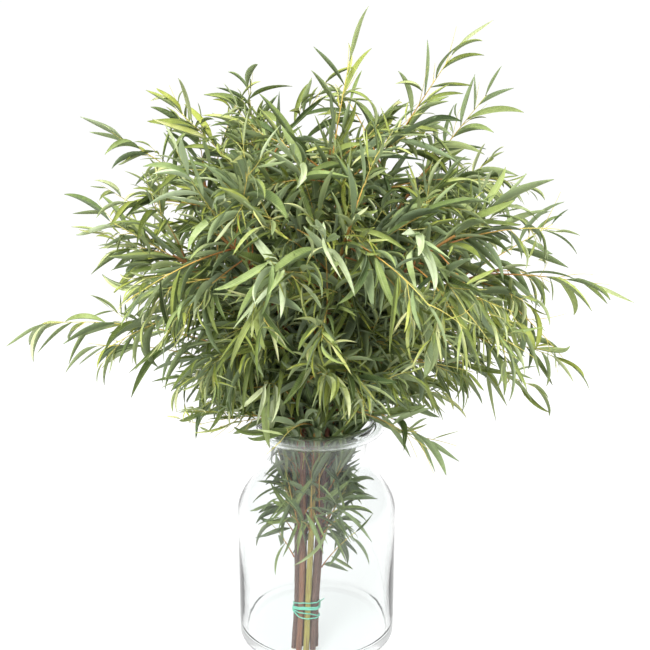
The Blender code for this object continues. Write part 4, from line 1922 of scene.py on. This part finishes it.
@dataclass
class Studio:
    """A plain pale floor, plain soft light and the camera."""

    camera_place: Vector = field(default_factory=lambda: Vector((0.010, -1.150, 0.689)))
    pitch_deg: float = 15.0
    lens: float = 58.9
    floor_radius: float = 12.0
    floor_gap: float = 0.0005
    sky: float = 1.03
    sky_sides: float = 0.50
    floor_glow: float = 0.74
    bounces: int = 64

    def build_floor(self) -> None:
        """Lay the pale floor."""
        bm = bmesh.new()
        lowered = Matrix.Translation((0, 0, -self.floor_gap))
        bmesh.ops.create_circle(bm, cap_ends=True, segments=96, radius=self.floor_radius, matrix=lowered)
        mesh = bpy.data.meshes.new("floor")
        bm.to_mesh(mesh)
        bm.free()
        graph, shader, material = new_material("floor_paint")
        noise = graph.node("ShaderNodeTexNoise", {"Scale": 3.0}).outputs["Fac"]
        colour = graph.blend(noise, (0.24, 0.24, 0.24), (0.27, 0.27, 0.27))
        look = {
            "Base Color": colour,
            "Roughness": 0.9,
            "Emission Color": WHITE,
            "Emission Strength": self.floor_glow,
        }
        graph.feed(shader, look)
        mesh.materials.append(material)
        floor = bpy.data.objects.new("floor", mesh)
        bpy.context.scene.collection.objects.link(floor)

    def build_light(self) -> None:
        """Light the bunch from a pale sky and three wide soft lamps."""
        world = bpy.data.worlds.new("studio_sky")
        world.use_nodes = True
        graph = Graph(world.node_tree)
        direction = graph.node("ShaderNodeTexCoord").outputs["Generated"]
        across = graph.node("ShaderNodeSeparateXYZ", {"Vector": direction}).outputs["X"]
        level = graph.smooth(graph.math("ABSOLUTE", across), 0.35, 0.95, self.sky, self.sky_sides)
        graph.feed(world.node_tree.nodes["Background"], {"Strength": level, "Color": WHITE})
        scene = bpy.context.scene
        scene.world = world
        scene.cycles.max_bounces = scene.cycles.transmission_bounces = self.bounces
        scene.cycles.transparent_max_bounces = self.bounces
        for name, place, size, power in LAMPS:
            lamp = bpy.data.lights.new(name, "AREA")
            lamp.shape = "DISK"
            lamp.size = size
            lamp.energy = power
            made = bpy.data.objects.new(name, lamp)
            made.location = place
            made.visible_glossy = False
            made.visible_transmission = False
            beam = Vector((0, 0, LAMP_TARGET_HEIGHT)) - Vector(place)
            made.rotation_euler = beam.to_track_quat("-Z", "Y").to_euler()
            bpy.context.scene.collection.objects.link(made)

    def build_camera(self) -> None:
        """Place the camera a little above the crown, looking down at the bunch."""
        camera = bpy.data.cameras.new("camera")
        camera.lens = self.lens
        camera.sensor_width = 36.0
        made = bpy.data.objects.new("camera", camera)
        made.location = self.camera_place
        made.rotation_euler = (math.radians(90 - self.pitch_deg), 0, 0)
        bpy.context.scene.collection.objects.link(made)
        bpy.context.scene.camera = made
        bpy.context.scene.view_settings.view_transform = "Standard"


@dataclass(frozen=True)
class Finishes:
    """Every finish of the bunch, built once."""

    leaf: bpy.types.Material
    shoot: bpy.types.Material
    bark: bpy.types.Material
    elastic: bpy.types.Material
    glass: bpy.types.Material

    @classmethod
    def build(cls) -> "Finishes":
        """Build the finishes with their shared effects."""
        effects = Effects.build()
        kinds = (LeafFinish(), ShootFinish(), BarkFinish(), ElasticFinish(), GlassFinish())
        return cls(*(kind.build(effects) for kind in kinds))


def main() -> None:
    """Build the studio and every piece of the bunch."""
    logging.basicConfig(level=logging.INFO, format="%(name)s: %(message)s")
    studio = Studio()
    studio.build_camera()
    studio.build_light()
    studio.build_floor()
    finishes = Finishes.build()
    vase = Vase.from_frame()
    vase.build(finishes.glass)
    LOG.info("vase turned")
    sweep = stem_tree()
    Tie().build(sweep, finishes.elastic)
    LOG.info("tie wound")
    leaves = Leaves(vase)
    growth = Growth()
    foliage = foliage_tree()
    total = 0
    for number, stem in enumerate(STEMS, 1):
        branch = Branch(number, StemPath(stem))
        branch.build_stem(sweep, finishes.bark)
        grown_leaves = branch.build_foliage(leaves, growth, foliage, finishes)
        total += grown_leaves
        LOG.info("branch %d: %d leaves", number, grown_leaves)
    for form in list(leaves.collection.objects):
        bpy.data.objects.remove(form)
    bpy.data.collections.remove(leaves.collection)
    LOG.info("%d leaves in all", total)


if __name__ == "__main__":
    main()
